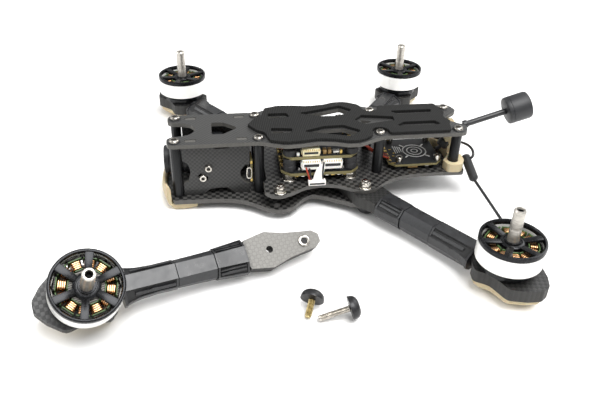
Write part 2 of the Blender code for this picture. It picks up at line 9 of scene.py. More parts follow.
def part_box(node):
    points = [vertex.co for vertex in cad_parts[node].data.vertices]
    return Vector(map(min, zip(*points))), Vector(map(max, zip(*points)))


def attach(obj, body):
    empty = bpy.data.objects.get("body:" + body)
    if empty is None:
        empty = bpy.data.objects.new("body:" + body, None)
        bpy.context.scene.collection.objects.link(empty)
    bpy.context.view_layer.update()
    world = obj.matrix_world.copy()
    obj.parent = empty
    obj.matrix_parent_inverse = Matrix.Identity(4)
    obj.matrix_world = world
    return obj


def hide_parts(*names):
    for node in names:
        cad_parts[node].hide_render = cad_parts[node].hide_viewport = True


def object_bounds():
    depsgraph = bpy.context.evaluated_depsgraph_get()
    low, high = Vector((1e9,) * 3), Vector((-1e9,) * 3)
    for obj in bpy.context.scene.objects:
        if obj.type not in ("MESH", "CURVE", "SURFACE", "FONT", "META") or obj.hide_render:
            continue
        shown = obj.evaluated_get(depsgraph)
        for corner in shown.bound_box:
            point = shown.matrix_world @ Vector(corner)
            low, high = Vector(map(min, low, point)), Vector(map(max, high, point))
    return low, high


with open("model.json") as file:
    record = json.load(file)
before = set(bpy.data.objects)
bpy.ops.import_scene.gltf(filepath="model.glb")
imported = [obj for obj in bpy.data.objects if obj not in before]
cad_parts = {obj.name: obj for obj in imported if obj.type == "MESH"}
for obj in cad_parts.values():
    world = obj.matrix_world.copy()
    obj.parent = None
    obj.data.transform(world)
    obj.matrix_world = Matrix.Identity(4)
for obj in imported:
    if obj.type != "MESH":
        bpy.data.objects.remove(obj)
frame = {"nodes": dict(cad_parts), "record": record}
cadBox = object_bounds()
mm = 0.001
ground = cadBox[0][2]          # the feet stand on the floor at this height
print("frame loaded, box in mm:", [[round(c / mm, 1) for c in corner] for corner in cadBox])


def colourOf(hexText):
    out = []
    for i in (0, 2, 4):
        c = int(hexText[i:i + 2], 16) / 255
        out.append(c / 12.92 if c <= 0.04045 else ((c + 0.055) / 1.055) ** 2.4)
    return (*out, 1.0)


# inputs take a value, a hex colour, a socket or a node (its first output)
def addNode(mat, kind, inputs, stops=(), **settings):
    made = mat.node_tree.nodes.new("ShaderNode" + kind)
    for key, value in settings.items():
        setattr(made, key, value)
    for key, value in inputs.items():
        if isinstance(value, bpy.types.Node):
            value = value.outputs[0]
        if isinstance(value, bpy.types.NodeSocket):
            mat.node_tree.links.new(value, made.inputs[key])
        else:
            made.inputs[key].default_value = colourOf(value) if isinstance(value, str) else value
    for i, (place, tone) in enumerate(stops):
        mark = made.color_ramp.elements[i] if i < 2 else made.color_ramp.elements.new(place)
        mark.position = place
        mark.color = colourOf(tone) if isinstance(tone, str) else (tone, tone, tone, 1)
    return made


def newMaterial(name):
    mat = bpy.data.materials.new(name)
    mat.use_nodes = True
    return mat


# uniform values go straight on the shader; a node or socket is linked
def setShader(mat, values):
    shader = mat.node_tree.nodes["Principled BSDF"]
    for key, value in values.items():
        if isinstance(value, bpy.types.Node):
            value = value.outputs[0]
        if isinstance(value, bpy.types.NodeSocket):
            mat.node_tree.links.new(value, shader.inputs[key])
        else:
            shader.inputs[key].default_value = colourOf(value) if isinstance(value, str) else value
    return mat


# A woven laminate. Its faces show square tows that take the light in turn, and its
# routed edges show the plies as thin level lines.
def wovenCarbon(name, weave):
    mat = newMaterial(name)
    where = addNode(mat, "TexCoord", {}).outputs["Object"]
    lie = weave.get("lie", (0, 0, 0))
    turned = addNode(mat, "Mapping", {"Vector": where, "Rotation": lie})
    split = addNode(mat, "SeparateXYZ", {"Vector": turned})
    tow = weave["tow"] * mm
    cells, mids = [], []
    for axis in ("X", "Y"):
        count = addNode(mat, "Math", {0: split.outputs[axis], 1: tow}, operation="DIVIDE")
        cells.append(addNode(mat, "Math", {0: count}, operation="FLOOR"))
        part = addNode(mat, "Math", {0: count}, operation="FRACT")
        mids.append(addNode(mat, "Math", {0: part, 1: 0.5}, operation="SUBTRACT"))
    step = addNode(mat, "Math", {0: cells[0], 1: cells[1]}, operation="SUBTRACT")
    beat = addNode(mat, "Math", {0: step, 1: weave["repeat"]}, operation="FLOORED_MODULO")
    over = addNode(mat, "Math", {0: beat, 1: weave["repeat"] / 2}, operation="LESS_THAN")
    tows = addNode(mat, "Mix", {0: over, 6: weave["dark"], 7: weave["light"]}, data_type="RGBA")
    cloud = addNode(mat, "TexNoise", {"Vector": where, "Scale": 1 / (11 * mm), "Detail": 2.0})
    thin = addNode(mat, "Math", {0: cloud, 1: weave["cloud"]}, operation="MULTIPLY")
    face = addNode(mat, "Mix", {0: thin, 6: tows.outputs[2], 7: weave["haze"]}, data_type="RGBA")
    # each tow is crowned between its neighbours
    dip = addNode(mat, "Math", {0: mids[0], 1: mids[0]}, operation="MULTIPLY")
    dips = addNode(mat, "Math", {0: mids[1], 1: mids[1], 2: dip}, operation="MULTIPLY_ADD")
    height = addNode(mat, "Math", {0: over, 1: 0.4, 2: 1.0}, operation="MULTIPLY_ADD")
    crown = addNode(mat, "Math", {0: height, 1: dips}, operation="SUBTRACT")
    if "rubFrom" in weave:         # painted sheen: the root end is painted paler, least in the seams between tows, standing in for light reflected along the arm
        start = weave["rubFrom"]
        paintedSheenFace = addNode(mat, "Mix", {0: crown, 6: weave["paintedSheenSeam"], 7: weave["paintedSheenTone"]}, data_type="RGBA")
        rub = addNode(mat, "MapRange", {"Value": split.outputs["X"], "From Min": start,
                                                  "From Max": start + 3 * mm, "To Max": weave["rub"]})
        face = addNode(mat, "Mix", {0: rub, 6: face.outputs[2], 7: paintedSheenFace.outputs[2]}, data_type="RGBA")
    bump = addNode(mat, "Bump", {"Height": crown, "Strength": weave["relief"], "Distance": 0.3 * mm})
    # the cut edge is wherever the surface turns away from the laminate's own normal
    normal = addNode(mat, "NewGeometry", {}).outputs["True Normal"]
    leaning = addNode(mat, "Mapping", {"Vector": normal, "Rotation": lie}, vector_type="NORMAL")
    facing = addNode(mat, "SeparateXYZ", {"Vector": leaning}).outputs["Z"]
    upright = addNode(mat, "Math", {0: facing}, operation="ABSOLUTE")
    edge = addNode(mat, "Math", {0: upright, 1: weave["edgeBelow"]}, operation="LESS_THAN")
    level = addNode(mat, "Math", {0: split.outputs["Z"], 1: weave["ply"] * mm}, operation="DIVIDE")
    ply = addNode(mat, "Math", {0: level}, operation="FRACT")
    plies = addNode(mat, "Mix", {0: ply, 6: weave["edgeDark"], 7: weave["edgeLight"]},
                    data_type="RGBA")
    colour = addNode(mat, "Mix", {0: edge, 6: face.outputs[2], 7: plies.outputs[2]}, data_type="RGBA")
    sheen = addNode(mat, "Math", {0: over, 1: -weave["shine"], 2: weave["rough"]},
                    operation="MULTIPLY_ADD")
    rough = addNode(mat, "Math", {0: edge, 1: 0.2, 2: sheen}, operation="MULTIPLY_ADD")
    return setShader(mat, {"Base Color": colour.outputs[2], "Roughness": rough, "Normal": bump,
                           "Coat Weight": weave["coat"], "Coat Roughness": 0.2})


# A surface with an even grain: colour, gloss and relief all follow one noise.
def grained(name, look):
    mat = newMaterial(name)
    where = addNode(mat, "TexCoord", {}).outputs["Object"]
    if "stretch" in look:
        where = addNode(mat, "Mapping", {"Vector": where, "Scale": look["stretch"]})
    grain = addNode(mat, "TexNoise", {"Vector": where, "Scale": 1 / (look["grain"] * mm), "Detail": 4.0})
    tone = addNode(mat, "ValToRGB", {"Fac": grain}, ((0.32, look["dark"]), (0.68, look["light"])))
    low, high = look["rough"]
    gloss = addNode(mat, "MapRange", {"Value": grain, "From Min": 0.3, "From Max": 0.7,
                                                "To Min": low, "To Max": high})
    bump = addNode(mat, "Bump", {"Height": grain, "Strength": look.get("relief", 0.15),
                                           "Distance": 0.1 * mm})
    return setShader(mat, {"Base Color": tone, "Roughness": gloss, "Normal": bump,
                           "Metallic": look.get("metal", 0.0), **look.get("more", {})})


# A surface with parallel ridges over the grain: print layers, ribs, strands or turning marks.
def ridged(name, look):
    mat = newMaterial(name)
    coords = addNode(mat, "TexCoord", {})
    where = coords.outputs[look.get("follow", "Object")]
    wave = addNode(mat, "TexWave", {
        "Vector": where, "Scale": math.pi / 10 / (look["pitch"] * look.get("unit", mm)),
        "Distortion": look.get("wander", 0.3), "Detail": 2.0, "Detail Scale": 1.0},
        bands_direction=look["across"])
    grain = addNode(mat, "TexNoise", {"Vector": coords.outputs["Object"], "Scale": 1 / (look["grain"] * mm),
                                                "Detail": 3.0})
    lines = addNode(mat, "ValToRGB", {"Fac": wave}, ((0.15, look["dark"]), (0.8, look["light"])))
    patch = addNode(mat, "Math", {0: grain, 1: look.get("patch", 0.4)}, operation="MULTIPLY")
    tone = addNode(mat, "Mix", {0: patch, 6: lines.outputs[0], 7: look["haze"]}, data_type="RGBA")
    bump = addNode(mat, "Bump", {"Height": wave, "Strength": look["relief"], "Distance": 0.2 * mm})
    return setShader(mat, {"Base Color": tone.outputs[2], "Roughness": look["rough"], "Normal": bump,
                           "Metallic": look.get("metal", 0.0), **look.get("more", {})})


# Carbon fibre plate, pressed from fine twill prepreg: dark grey with a small lively check
fineTwill = {"tow": 0.95, "repeat": 2, "light": "3a3a39", "dark": "232323", "haze": "454442", "cloud": 0.3,
             "rough": 0.48, "shine": 0.08, "coat": 0.12, "relief": 0.25, "ply": 0.4, "edgeLight": "62605b",
             "edgeDark": "3a3937", "edgeBelow": 0.6}
deckCarbon = wovenCarbon("fineTwillCarbon", fineTwill)
sideCarbon = wovenCarbon("fineTwillCarbonOnEdge", {**fineTwill, "lie": (math.radians(90), 0, 0), "tow": 1.1,
                                                   "light": "323231", "dark": "1d1d1d", "haze": "373634"})
# Carbon fibre plate in plain 2 mm weave under gloss resin: near-black squares with bright tows between
baseCarbon = wovenCarbon("plainWeaveCarbon", {
    "tow": 2.0, "repeat": 2, "light": "4d4c4a", "dark": "0b0b0b", "haze": "242423", "cloud": 0.2,
    "rough": 0.4,
    "shine": 0.12, "coat": 0.2, "relief": 0.25, "ply": 0.42, "edgeLight": "55534f", "edgeDark": "343332",
    "edgeBelow": 0.6})
# the same plate on the arms is blacker; the dismantled arm's root carries a painted sheen, paler towards the
# root and least in the seams, standing in for reflected light
armCarbon = {**fineTwill, "tow": 1.5, "light": "2a2a29", "dark": "101010", "haze": "1c1c1b", "rough": 0.5,
             "coat": 0.0, "edgeLight": "343331", "edgeDark": "1c1c1b", "rub": 0.9,
             "paintedSheenTone": "7c7a75", "paintedSheenSeam": "3a3936"}
# Glass-filled nylon, injection moulded: satin black that turns grey along the light, with faint flow marks
sleeveNylon = grained("mouldedNylon", {"dark": "151517", "light": "252628", "grain": 3.0,
                                       "rough": (0.26, 0.38),
                                       "relief": 0.15})
darkNylon = grained("mouldedNylonTextured", {"dark": "1a1b1c", "light": "26272a", "grain": 0.9,
                                             "rough": (0.38, 0.5), "relief": 0.3})
# the same nylon, painted near-black for the shade on the floor of the shoulder recesses
recessShadeNylon = grained("mouldedNylonPaintedShade", {"dark": "0c0c0d", "light": "151516", "grain": 1.0,
                                          "rough": (0.5, 0.65)})
# TPU, printed in 0.4 mm layers: matt sand colour with level filament lines, slightly translucent
printedTpu = ridged("printedTpu", {"across": "Z", "pitch": 0.4, "dark": "a3926f", "light": "c0b08c",
                                   "haze": "d3c6a8", "grain": 6.0, "rough": 0.55, "relief": 0.3,
                                   "more": {"Subsurface Weight": 0.1, "Subsurface Scale": 0.002}})
# Moulded silicone grip pad with cast ribs 0.9 mm apart: matt, close to black, finely lined
gripSilicone = ridged("ribbedSilicone", {"across": "X", "pitch": 0.9, "dark": "0a0a0a", "light": "252524",
                                         "haze": "171716", "grain": 9.0, "rough": 0.75, "relief": 0.6,
                                         "wander": 0.1, "more": {"Specular IOR Level": 0.25}})
# Aluminium, bead-blasted and anodised black: a fine matt grain with a tight gloss under the dye
blackAluminium = grained("anodisedAluminium", {"dark": "151617", "light": "222325", "grain": 0.5,
                                               "rough": (0.3, 0.42), "metal": 0.5})
# Machined and anodised motor cap: as above, smoother, so its edges catch the light
capAluminium = grained("machinedAnodisedAluminium", {"dark": "101113", "light": "1c1d20", "grain": 0.8,
                                                     "rough": (0.22, 0.32), "metal": 0.6, "relief": 0.08})
# Steel flux ring, painted gloss white: clean, with a soft highlight all round
whitePaint = grained("glossPaint", {"dark": "ecebe7", "light": "f6f5f2", "grain": 5.0, "rough": (0.26, 0.34),
                                    "relief": 0.05, "more": {"Coat Weight": 0.4}})
# Steel bar, turned and ground: bright, with fine rings round it
groundSteel = grained("groundSteel", {"dark": "a29e97", "light": "d4d0c8", "grain": 0.9,
                                      "stretch": (0.3, 0.3, 3),
                                      "rough": (0.28, 0.42), "metal": 0.85})
# Stainless steel, cold-headed: bright and smooth with soft handling marks
stainless = grained("stainlessSteel", {"dark": "b3aea6", "light": "d4d0c8", "grain": 1.5,
                                       "rough": (0.16, 0.28),
                                       "metal": 1.0, "relief": 0.06})
# Steel screw head, cold-headed and nickel plated: a warmer, darker grey than the stainless parts
headSteel = grained("nickelPlatedSteel", {"dark": "85817b", "light": "aaa69f", "grain": 1.5,
                                          "rough": (0.2, 0.3),
                                          "metal": 1.0, "relief": 0.06})
# Steel, yellow zinc plated: pale straw metal, brighter on thread crests
yellowZinc = grained("yellowZincSteel", {"dark": "8f7f55", "light": "c6b482", "grain": 1.2,
                                         "rough": (0.22, 0.36),
                                         "metal": 1.0, "relief": 0.08})
# Steel in shadow at the bottom of a drilled or broached hole: almost black
holeSteel = grained("drilledSteel", {"dark": "080808", "light": "121212", "grain": 0.5, "rough": (0.5, 0.7)})
# Enamelled copper wire, wound in tight 0.5 mm strands drawn at 0.8 mm so they show: warm metal, dark gaps
enamelCopper = ridged("enamelledCopper", {"follow": "UV", "unit": 1.0, "across": "X", "pitch": 0.8,
                                          "dark": "7d4822", "light": "f0c08a", "haze": "cf9458",
                                          "grain": 3.0, "patch": 0.25,
                                          "rough": 0.26, "metal": 1.0, "relief": 0.5, "wander": 0.0,
                                          "more": {"Coat Weight": 0.5}})
# Epoxy powder coating on the stator: dull green, a little pitted
greenEpoxy = grained("epoxyPowderCoat", {"dark": "35502c", "light": "54703f", "grain": 1.0,
                                         "rough": (0.4, 0.55)})
# Silicon steel sheet, stamped in 0.2 mm laminations drawn at 0.5 mm so they show: dark level lines
stackedSteel = ridged("laminatedSteel", {"across": "Z", "pitch": 0.5, "dark": "232220", "light": "5b5955",
                                         "haze": "3a3936", "grain": 4.0, "rough": 0.4,
                                         "metal": 0.8, "relief": 0.3})
# Sintered magnet with nickel plating: cool grey, painted dark for the shade inside the bell, and even in tone
shadedNickelMagnet = grained("nickelPlateShaded", {"dark": "3f3e3c", "light": "5c5b58", "grain": 1.2,
                                       "rough": (0.22, 0.34),
                                       "metal": 1.0, "relief": 0.05})
# Circuit board with black solder mask: smooth, faintly glossy, uneven over its tracks
blackMask = grained("solderMask", {"dark": "121314", "light": "1f2123", "grain": 1.6, "rough": (0.5, 0.62),
                                   "relief": 0.2})
# Bare glass-epoxy where the board was routed: olive straw colour, dull and fibrous
bareFibreglass = ridged("glassEpoxy", {"across": "Z", "pitch": 0.4, "dark": "5f5838", "light": "8a8056",
                                       "haze": "766d46", "grain": 2.0, "rough": 0.6, "relief": 0.2})
# Gold flash over copper pads: warm and bright
goldFlash = grained("immersionGold", {"dark": "b4954a", "light": "dcc27c", "grain": 0.8,
                                      "rough": (0.22, 0.36),
                                      "metal": 1.0, "relief": 0.1})
# Solder, melted and set: bright silver beads with a slight frost
solder = grained("solder", {"dark": "a9a7a2", "light": "dad8d2", "grain": 0.7, "rough": (0.2, 0.35),
                            "metal": 1.0})
# Moulded epoxy chip: matt black with a very fine grain
chipEpoxy = grained("chipEpoxy", {"dark": "121314", "light": "1d1e20", "grain": 0.5, "rough": (0.5, 0.62)})
# Ceramic capacitor: sandy brown body, slightly waxy
capCeramic = grained("ceramic", {"dark": "7d6136", "light": "a98a55", "grain": 1.0, "rough": (0.35, 0.5)})
# Nylon connector, moulded: clean white with a soft edge where light soaks in
whiteNylon = grained("naturalNylon", {"dark": "e6e4dd", "light": "f5f3ee", "grain": 2.0,
                                      "rough": (0.38, 0.48),
                                      "more": {"Subsurface Weight": 0.08, "Subsurface Scale": 0.001}})
creamNylon = grained("heatProofNylon", {"dark": "d3c79c", "light": "e8dfbd", "grain": 2.0,
                                        "rough": (0.38, 0.48),
                                        "more": {"Subsurface Weight": 0.08, "Subsurface Scale": 0.001}})
# Rubber grommet, moulded: dull black with soft highlights
blackRubber = grained("mouldedRubber", {"dark": "161617", "light": "222224", "grain": 0.9,
                                        "rough": (0.5, 0.65)})
# PVC wire sleeve, extruded: smooth, semi-gloss, one clean colour
blackPvc = grained("extrudedPvcBlack", {"dark": "161617", "light": "262628", "grain": 2.5,
                                        "rough": (0.32, 0.42)})
redPvc = grained("extrudedPvcRed", {"dark": "8c2c1a", "light": "b24631", "grain": 2.5, "rough": (0.34, 0.44)})
# Polycarbonate camera housing, moulded: fine spark-eroded texture with a low sheen
sparkedPlastic = grained("sparkedPolycarbonate", {"dark": "18191b", "light": "232427", "grain": 0.5,
                                                  "rough": (0.42, 0.55), "relief": 0.3})
# Steel head, black oxide and oil: dark satin dome with a wide soft highlight
blackOxide = grained("blackOxideSteel", {"dark": "1d1d1e", "light": "2c2c2e", "grain": 0.9,
                                         "rough": (0.3, 0.42),
                                         "metal": 0.4})
# Screen print ink: thin flat white
printInk = grained("screenPrintInk", {"dark": "e8e7e3", "light": "f4f3f0", "grain": 0.5, "rough": (0.5, 0.6)})
# Coated optical glass: black depth with a red-brown bloom
coatedGlass = grained("coatedGlass", {"dark": "0c0506", "light": "3a1a14", "grain": 9.0,
                                      "rough": (0.03, 0.06),
                                      "relief": 0.0, "more": {"Coat Weight": 1.0}})
print("materials made")


# a profile of (radius, height) in millimetres, spun about Z
def turnedShape(profile, steps=32):
    bm = bmesh.new()
    verts = [bm.verts.new((r * mm, 0, z * mm)) for r, z in profile]
    onAxis = profile[0][0] == 0 and profile[-1][0] == 0
    pairs = list(zip(verts, verts[1:])) + ([] if onAxis else [(verts[-1], verts[0])])
    edges = [bm.edges.new(pair) for pair in pairs]
    bmesh.ops.spin(bm, geom=verts + edges, cent=(0, 0, 0), axis=(0, 0, 1), dvec=(0, 0, 0),
                   angle=2 * math.pi, steps=steps, use_merge=True)
    return bm


def blockShape(size, bevel=0.0, segments=2):
    bm = bmesh.new()
    bmesh.ops.create_cube(bm, size=1.0)
    bmesh.ops.scale(bm, vec=[s * mm for s in size], verts=bm.verts)
    if bevel:
        bmesh.ops.bevel(bm, geom=bm.edges[:], offset=bevel * mm, affect="EDGES", segments=segments,
                        profile=0.5, material=-1)
    return bm


# a prism standing on its base, with softened rims and at will a blind hole
def barShape(radius, length, sides=24, bevel=0.0, hole=0.0, depth=1.0):
    bm = bmesh.new()
    bmesh.ops.create_cone(bm, cap_ends=True, segments=sides, radius1=radius * mm, radius2=radius * mm,
                          depth=length * mm)
    bmesh.ops.translate(bm, vec=(0, 0, length * mm / 2), verts=bm.verts)
    if hole:                       # a blind hole of the same number of sides in the top
        topFace = max(bm.faces, key=lambda f: f.calc_center_median().z)
        bmesh.ops.inset_region(bm, faces=[topFace], thickness=(radius - hole) * mm)
        sunk = bmesh.ops.extrude_face_region(bm, geom=[topFace])
        bmesh.ops.translate(bm, vec=(0, 0, -depth * mm),
                            verts=[v for v in sunk["geom"] if isinstance(v, bmesh.types.BMVert)])
        bmesh.ops.delete(bm, geom=[topFace], context="FACES_ONLY")
    if bevel:
        rims = [e for e in bm.edges if any(len(f.verts) == sides for f in e.link_faces)]
        bmesh.ops.bevel(bm, geom=rims, offset=bevel * mm, affect="EDGES", segments=2, profile=0.5,
                        material=-1)
    return bm


# a flat outline in millimetres raised between two levels
def sheetShape(outline, low, high):
    bm = bmesh.new()
    face = bm.faces.new([bm.verts.new((x * mm, y * mm, low * mm)) for x, y in outline])
    raised = bmesh.ops.extrude_face_region(bm, geom=[face], use_keep_orig=True)
    bmesh.ops.translate(bm, vec=(0, 0, (high - low) * mm),
                        verts=[v for v in raised["geom"] if isinstance(v, bmesh.types.BMVert)])
    return bm


# closed rings of equal count, bridged in order and capped
def loftShape(rings):
    bm = bmesh.new()
    loops = []
    for ring in rings:
        verts = [bm.verts.new([c * mm for c in p]) for p in ring]
        loops.append((verts, [bm.edges.new((verts[i - 1], verts[i])) for i in range(len(verts))]))
    for (_, a), (_, b) in zip(loops, loops[1:]):
        bmesh.ops.bridge_loops(bm, edges=a + b)
    for verts, _ in (loops[0], loops[-1]):
        bm.faces.new(verts)
    return bm


# a round wire through points in millimetres, heights from the floor
def wireShape(points, radius):
    curve = bpy.data.curves.new("wire", "CURVE")
    curve.dimensions = "3D"
    curve.bevel_depth = radius * mm
    curve.bevel_resolution = 3
    curve.resolution_u = 8
    curve.use_fill_caps = True
    spline = curve.splines.new("NURBS")
    spline.points.add(len(points) - 1)
    for point, (x, y, z) in zip(spline.points, points):
        point.co = (x * mm, y * mm, z * mm + ground, 1)
    spline.order_u = min(4, len(points))
    spline.use_endpoint_u = True
    obj = bpy.data.objects.new("wire", curve)
    mesh = bpy.data.meshes.new_from_object(obj)
    bm = bmesh.new()
    bm.from_mesh(mesh)
    bpy.data.objects.remove(obj)
    bpy.data.meshes.remove(mesh)
    bpy.data.curves.remove(curve)
    return bm


# a place in millimetres, heights from the floor
def at(x=0.0, y=0.0, z=0.0, turn=0.0, axis="Z"):
    return Matrix.Translation((x * mm, y * mm, z * mm + ground)) @ Matrix.Rotation(turn, 4, axis)


def shift(x=0.0, y=0.0, z=0.0, turn=0.0, axis="Z"):
    return Matrix.Translation((x * mm, y * mm, z * mm)) @ Matrix.Rotation(turn, 4, axis)


# adds one closed shape to a piece, with its material and place
def join(target, shape, slot=0, place=None):
    bmesh.ops.remove_doubles(shape, verts=shape.verts, dist=1e-7)
    if place is not None:
        bmesh.ops.transform(shape, matrix=place, verts=shape.verts)
    bmesh.ops.recalc_face_normals(shape, faces=shape.faces)
    for face in shape.faces:
        face.material_index = face.material_index if slot is None else slot
    scrap = bpy.data.meshes.new("scrap")
    shape.to_mesh(scrap)
    shape.free()
    target.from_mesh(scrap)
    bpy.data.meshes.remove(scrap)


def soften(obj, width, angle=40):
    mod = obj.modifiers.new("softEdge", "BEVEL")
    mod.width = width * mm
    mod.segments = 2
    mod.limit_method = "ANGLE"
    mod.angle_limit = math.radians(angle)
    mod.harden_normals = True


def finishPiece(name, bm, materials, body, replaced=(), smooth=38, edge=0.0):
    mesh = bpy.data.meshes.new(name)
    bm.to_mesh(mesh)
    bm.free()
    for mat in materials:
        mesh.materials.append(mat)
    mesh.shade_smooth()
    mesh.set_sharp_from_angle(angle=math.radians(smooth))
    obj = bpy.data.objects.new(name, mesh)
    bpy.context.scene.collection.objects.link(obj)
    if edge:
        soften(obj, edge)
    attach(obj, body)
    if replaced:
        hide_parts(*replaced)
    return obj


# a CAD solid keeps its shape and takes its material and softened edges here
def dressNode(node, mat, edge=0.0):
    obj = frame["nodes"][node]
    obj.data.materials.clear()
    obj.data.materials.append(mat)
    weld = obj.modifiers.new("weld", "WELD")
    weld.merge_threshold = 0.00001
    if edge:
        soften(obj, edge)


# the camera stands to the left of the nose, looking down at the frame
view = {"place": (-52.02, -288.17, 188.64), "yaw": 8.86, "down": 34.13, "roll": 1.695, "lens": 39.21}
yaw, down, roll = (math.radians(view[k]) for k in ("yaw", "down", "roll"))
ahead = Vector((math.sin(yaw) * math.cos(down), math.cos(yaw) * math.cos(down), -math.sin(down)))
level = Vector((math.cos(yaw), -math.sin(yaw), 0))
upward = level.cross(ahead)
side = math.cos(roll) * level + math.sin(roll) * upward
upward = -math.sin(roll) * level + math.cos(roll) * upward
camData = bpy.data.cameras.new("camera")
camData.lens = view["lens"]
camData.clip_start = 0.01
cam = bpy.data.objects.new("camera", camData)
bpy.context.scene.collection.objects.link(cam)
cam.matrix_world = at(*view["place"]) @ Matrix((side, upward, -ahead)).transposed().to_4x4()
bpy.context.scene.camera = cam

# each arm's own frame has Z up its motor shaft and X along the arm to its root
joints = {j["name"]: j for j in frame["record"]["behaviour"]["joints"]}
armLevel, armAngle = 6.5, math.radians(54.5)
arms = {
    "front_right": {"toRoot": (1, -1), "body": "frame", "spokeTurn": 10},
    "rear_right": {"toRoot": (-1, -1), "body": "frame", "spokeTurn": 25},
    "rear_left": {"toRoot": (-1, 1), "body": "frame", "spokeTurn": -8},
    "front_left": {"lying": (19.15, 3.2, 36.8), "body": "loose_arm", "spokeTurn": 13},
}
for armName, arm in arms.items():
    spot = joints["rotor_%s_spin" % armName]["pos_m"]
    if "lying" in arm:
        a, b, c = (math.radians(v) for v in arm["lying"])
        tilt = Matrix.Rotation(a, 4, "Z") @ Matrix.Rotation(b, 4, "Y") @ Matrix.Rotation(c, 4, "X")
        arm["frame"] = Matrix.Translation(spot) @ tilt
    else:
        sx, sy = arm["toRoot"]
        turn = math.atan2(sy * math.sin(armAngle), sx * math.cos(armAngle))
        arm["frame"] = at(spot[0] / mm, spot[1] / mm, armLevel, turn)


# height of a node's underside (0) or top (1) above the floor, in millimetres
def levelOf(node, end):
    return (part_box(node)[end][2] - ground) / mm


underPlate = levelOf("bottom_plate", 0)
midDeck, topDeck = levelOf("mid_plate", 1), levelOf("top_plate", 1)
escUnder, escTop = (levelOf("esc_board", end) for end in (0, 1))
fcUnder, fcTop = (levelOf("flight_controller", end) for end in (0, 1))
vtxUnder, vtxTop = (levelOf("vtx_board", end) for end in (0, 1))
print("camera and levels set:", [round(v, 2) for v in (midDeck, escUnder, escTop, fcUnder, fcTop, topDeck)])

dressed = {
    "top_plate": (deckCarbon, 0.12), "mid_plate": (baseCarbon, 0.12), "bottom_plate": (baseCarbon, 0.12),
    "camera_plate_left": (sideCarbon, 0.1), "camera_plate_right": (sideCarbon, 0.1),
    "battery_pad": (gripSilicone, 0.15), "front_bumper": (printedTpu,
                                                          0.5), "antenna_mount": (printedTpu, 0.3),
    "receiver_antenna": (blackRubber, 0.1), "camera_body": (sparkedPlastic, 0.5),
}
for node, (mat, edge) in dressed.items():
    dressNode(node, mat, edge)
for armName, arm in arms.items():
    back = arm["frame"].to_3x3().inverted()
    weave = {**armCarbon, "lie": tuple(back.to_euler())}
    if "lying" in arm:
        # the painted sheen begins 66 mm along the lying arm and covers it from there to its root
        weave["rubFrom"] = (back @ arm["frame"].translation).x + 66 * mm
    dressNode("arm_" + armName, wovenCarbon("armCarbon_" + armName, weave), 0.15)
    dressNode("foot_" + armName, printedTpu, 0.5)
    dressNode("motor_base_" + armName, blackAluminium, 0.2)
for standSide in ("left", "right"):
    for i in (1, 2, 3, 4):
        dressNode("standoff_%s_%d" % (standSide, i), blackAluminium, 0.2)
print("plates, arms and printed parts dressed")

# outrunner bell: a painted flux ring under an anodised cap with six spokes and a raised hub
bellShape = {"radius": 14.0, "low": 10.55, "high": 21.05, "bandTop": 18.7, "hub": 5.2, "spokes": 6,
             "spokeWidth": 2.7, "magnets": 14, "shaft": 2.5, "shaftTop": 35.25, "shaftBore": 1.45}


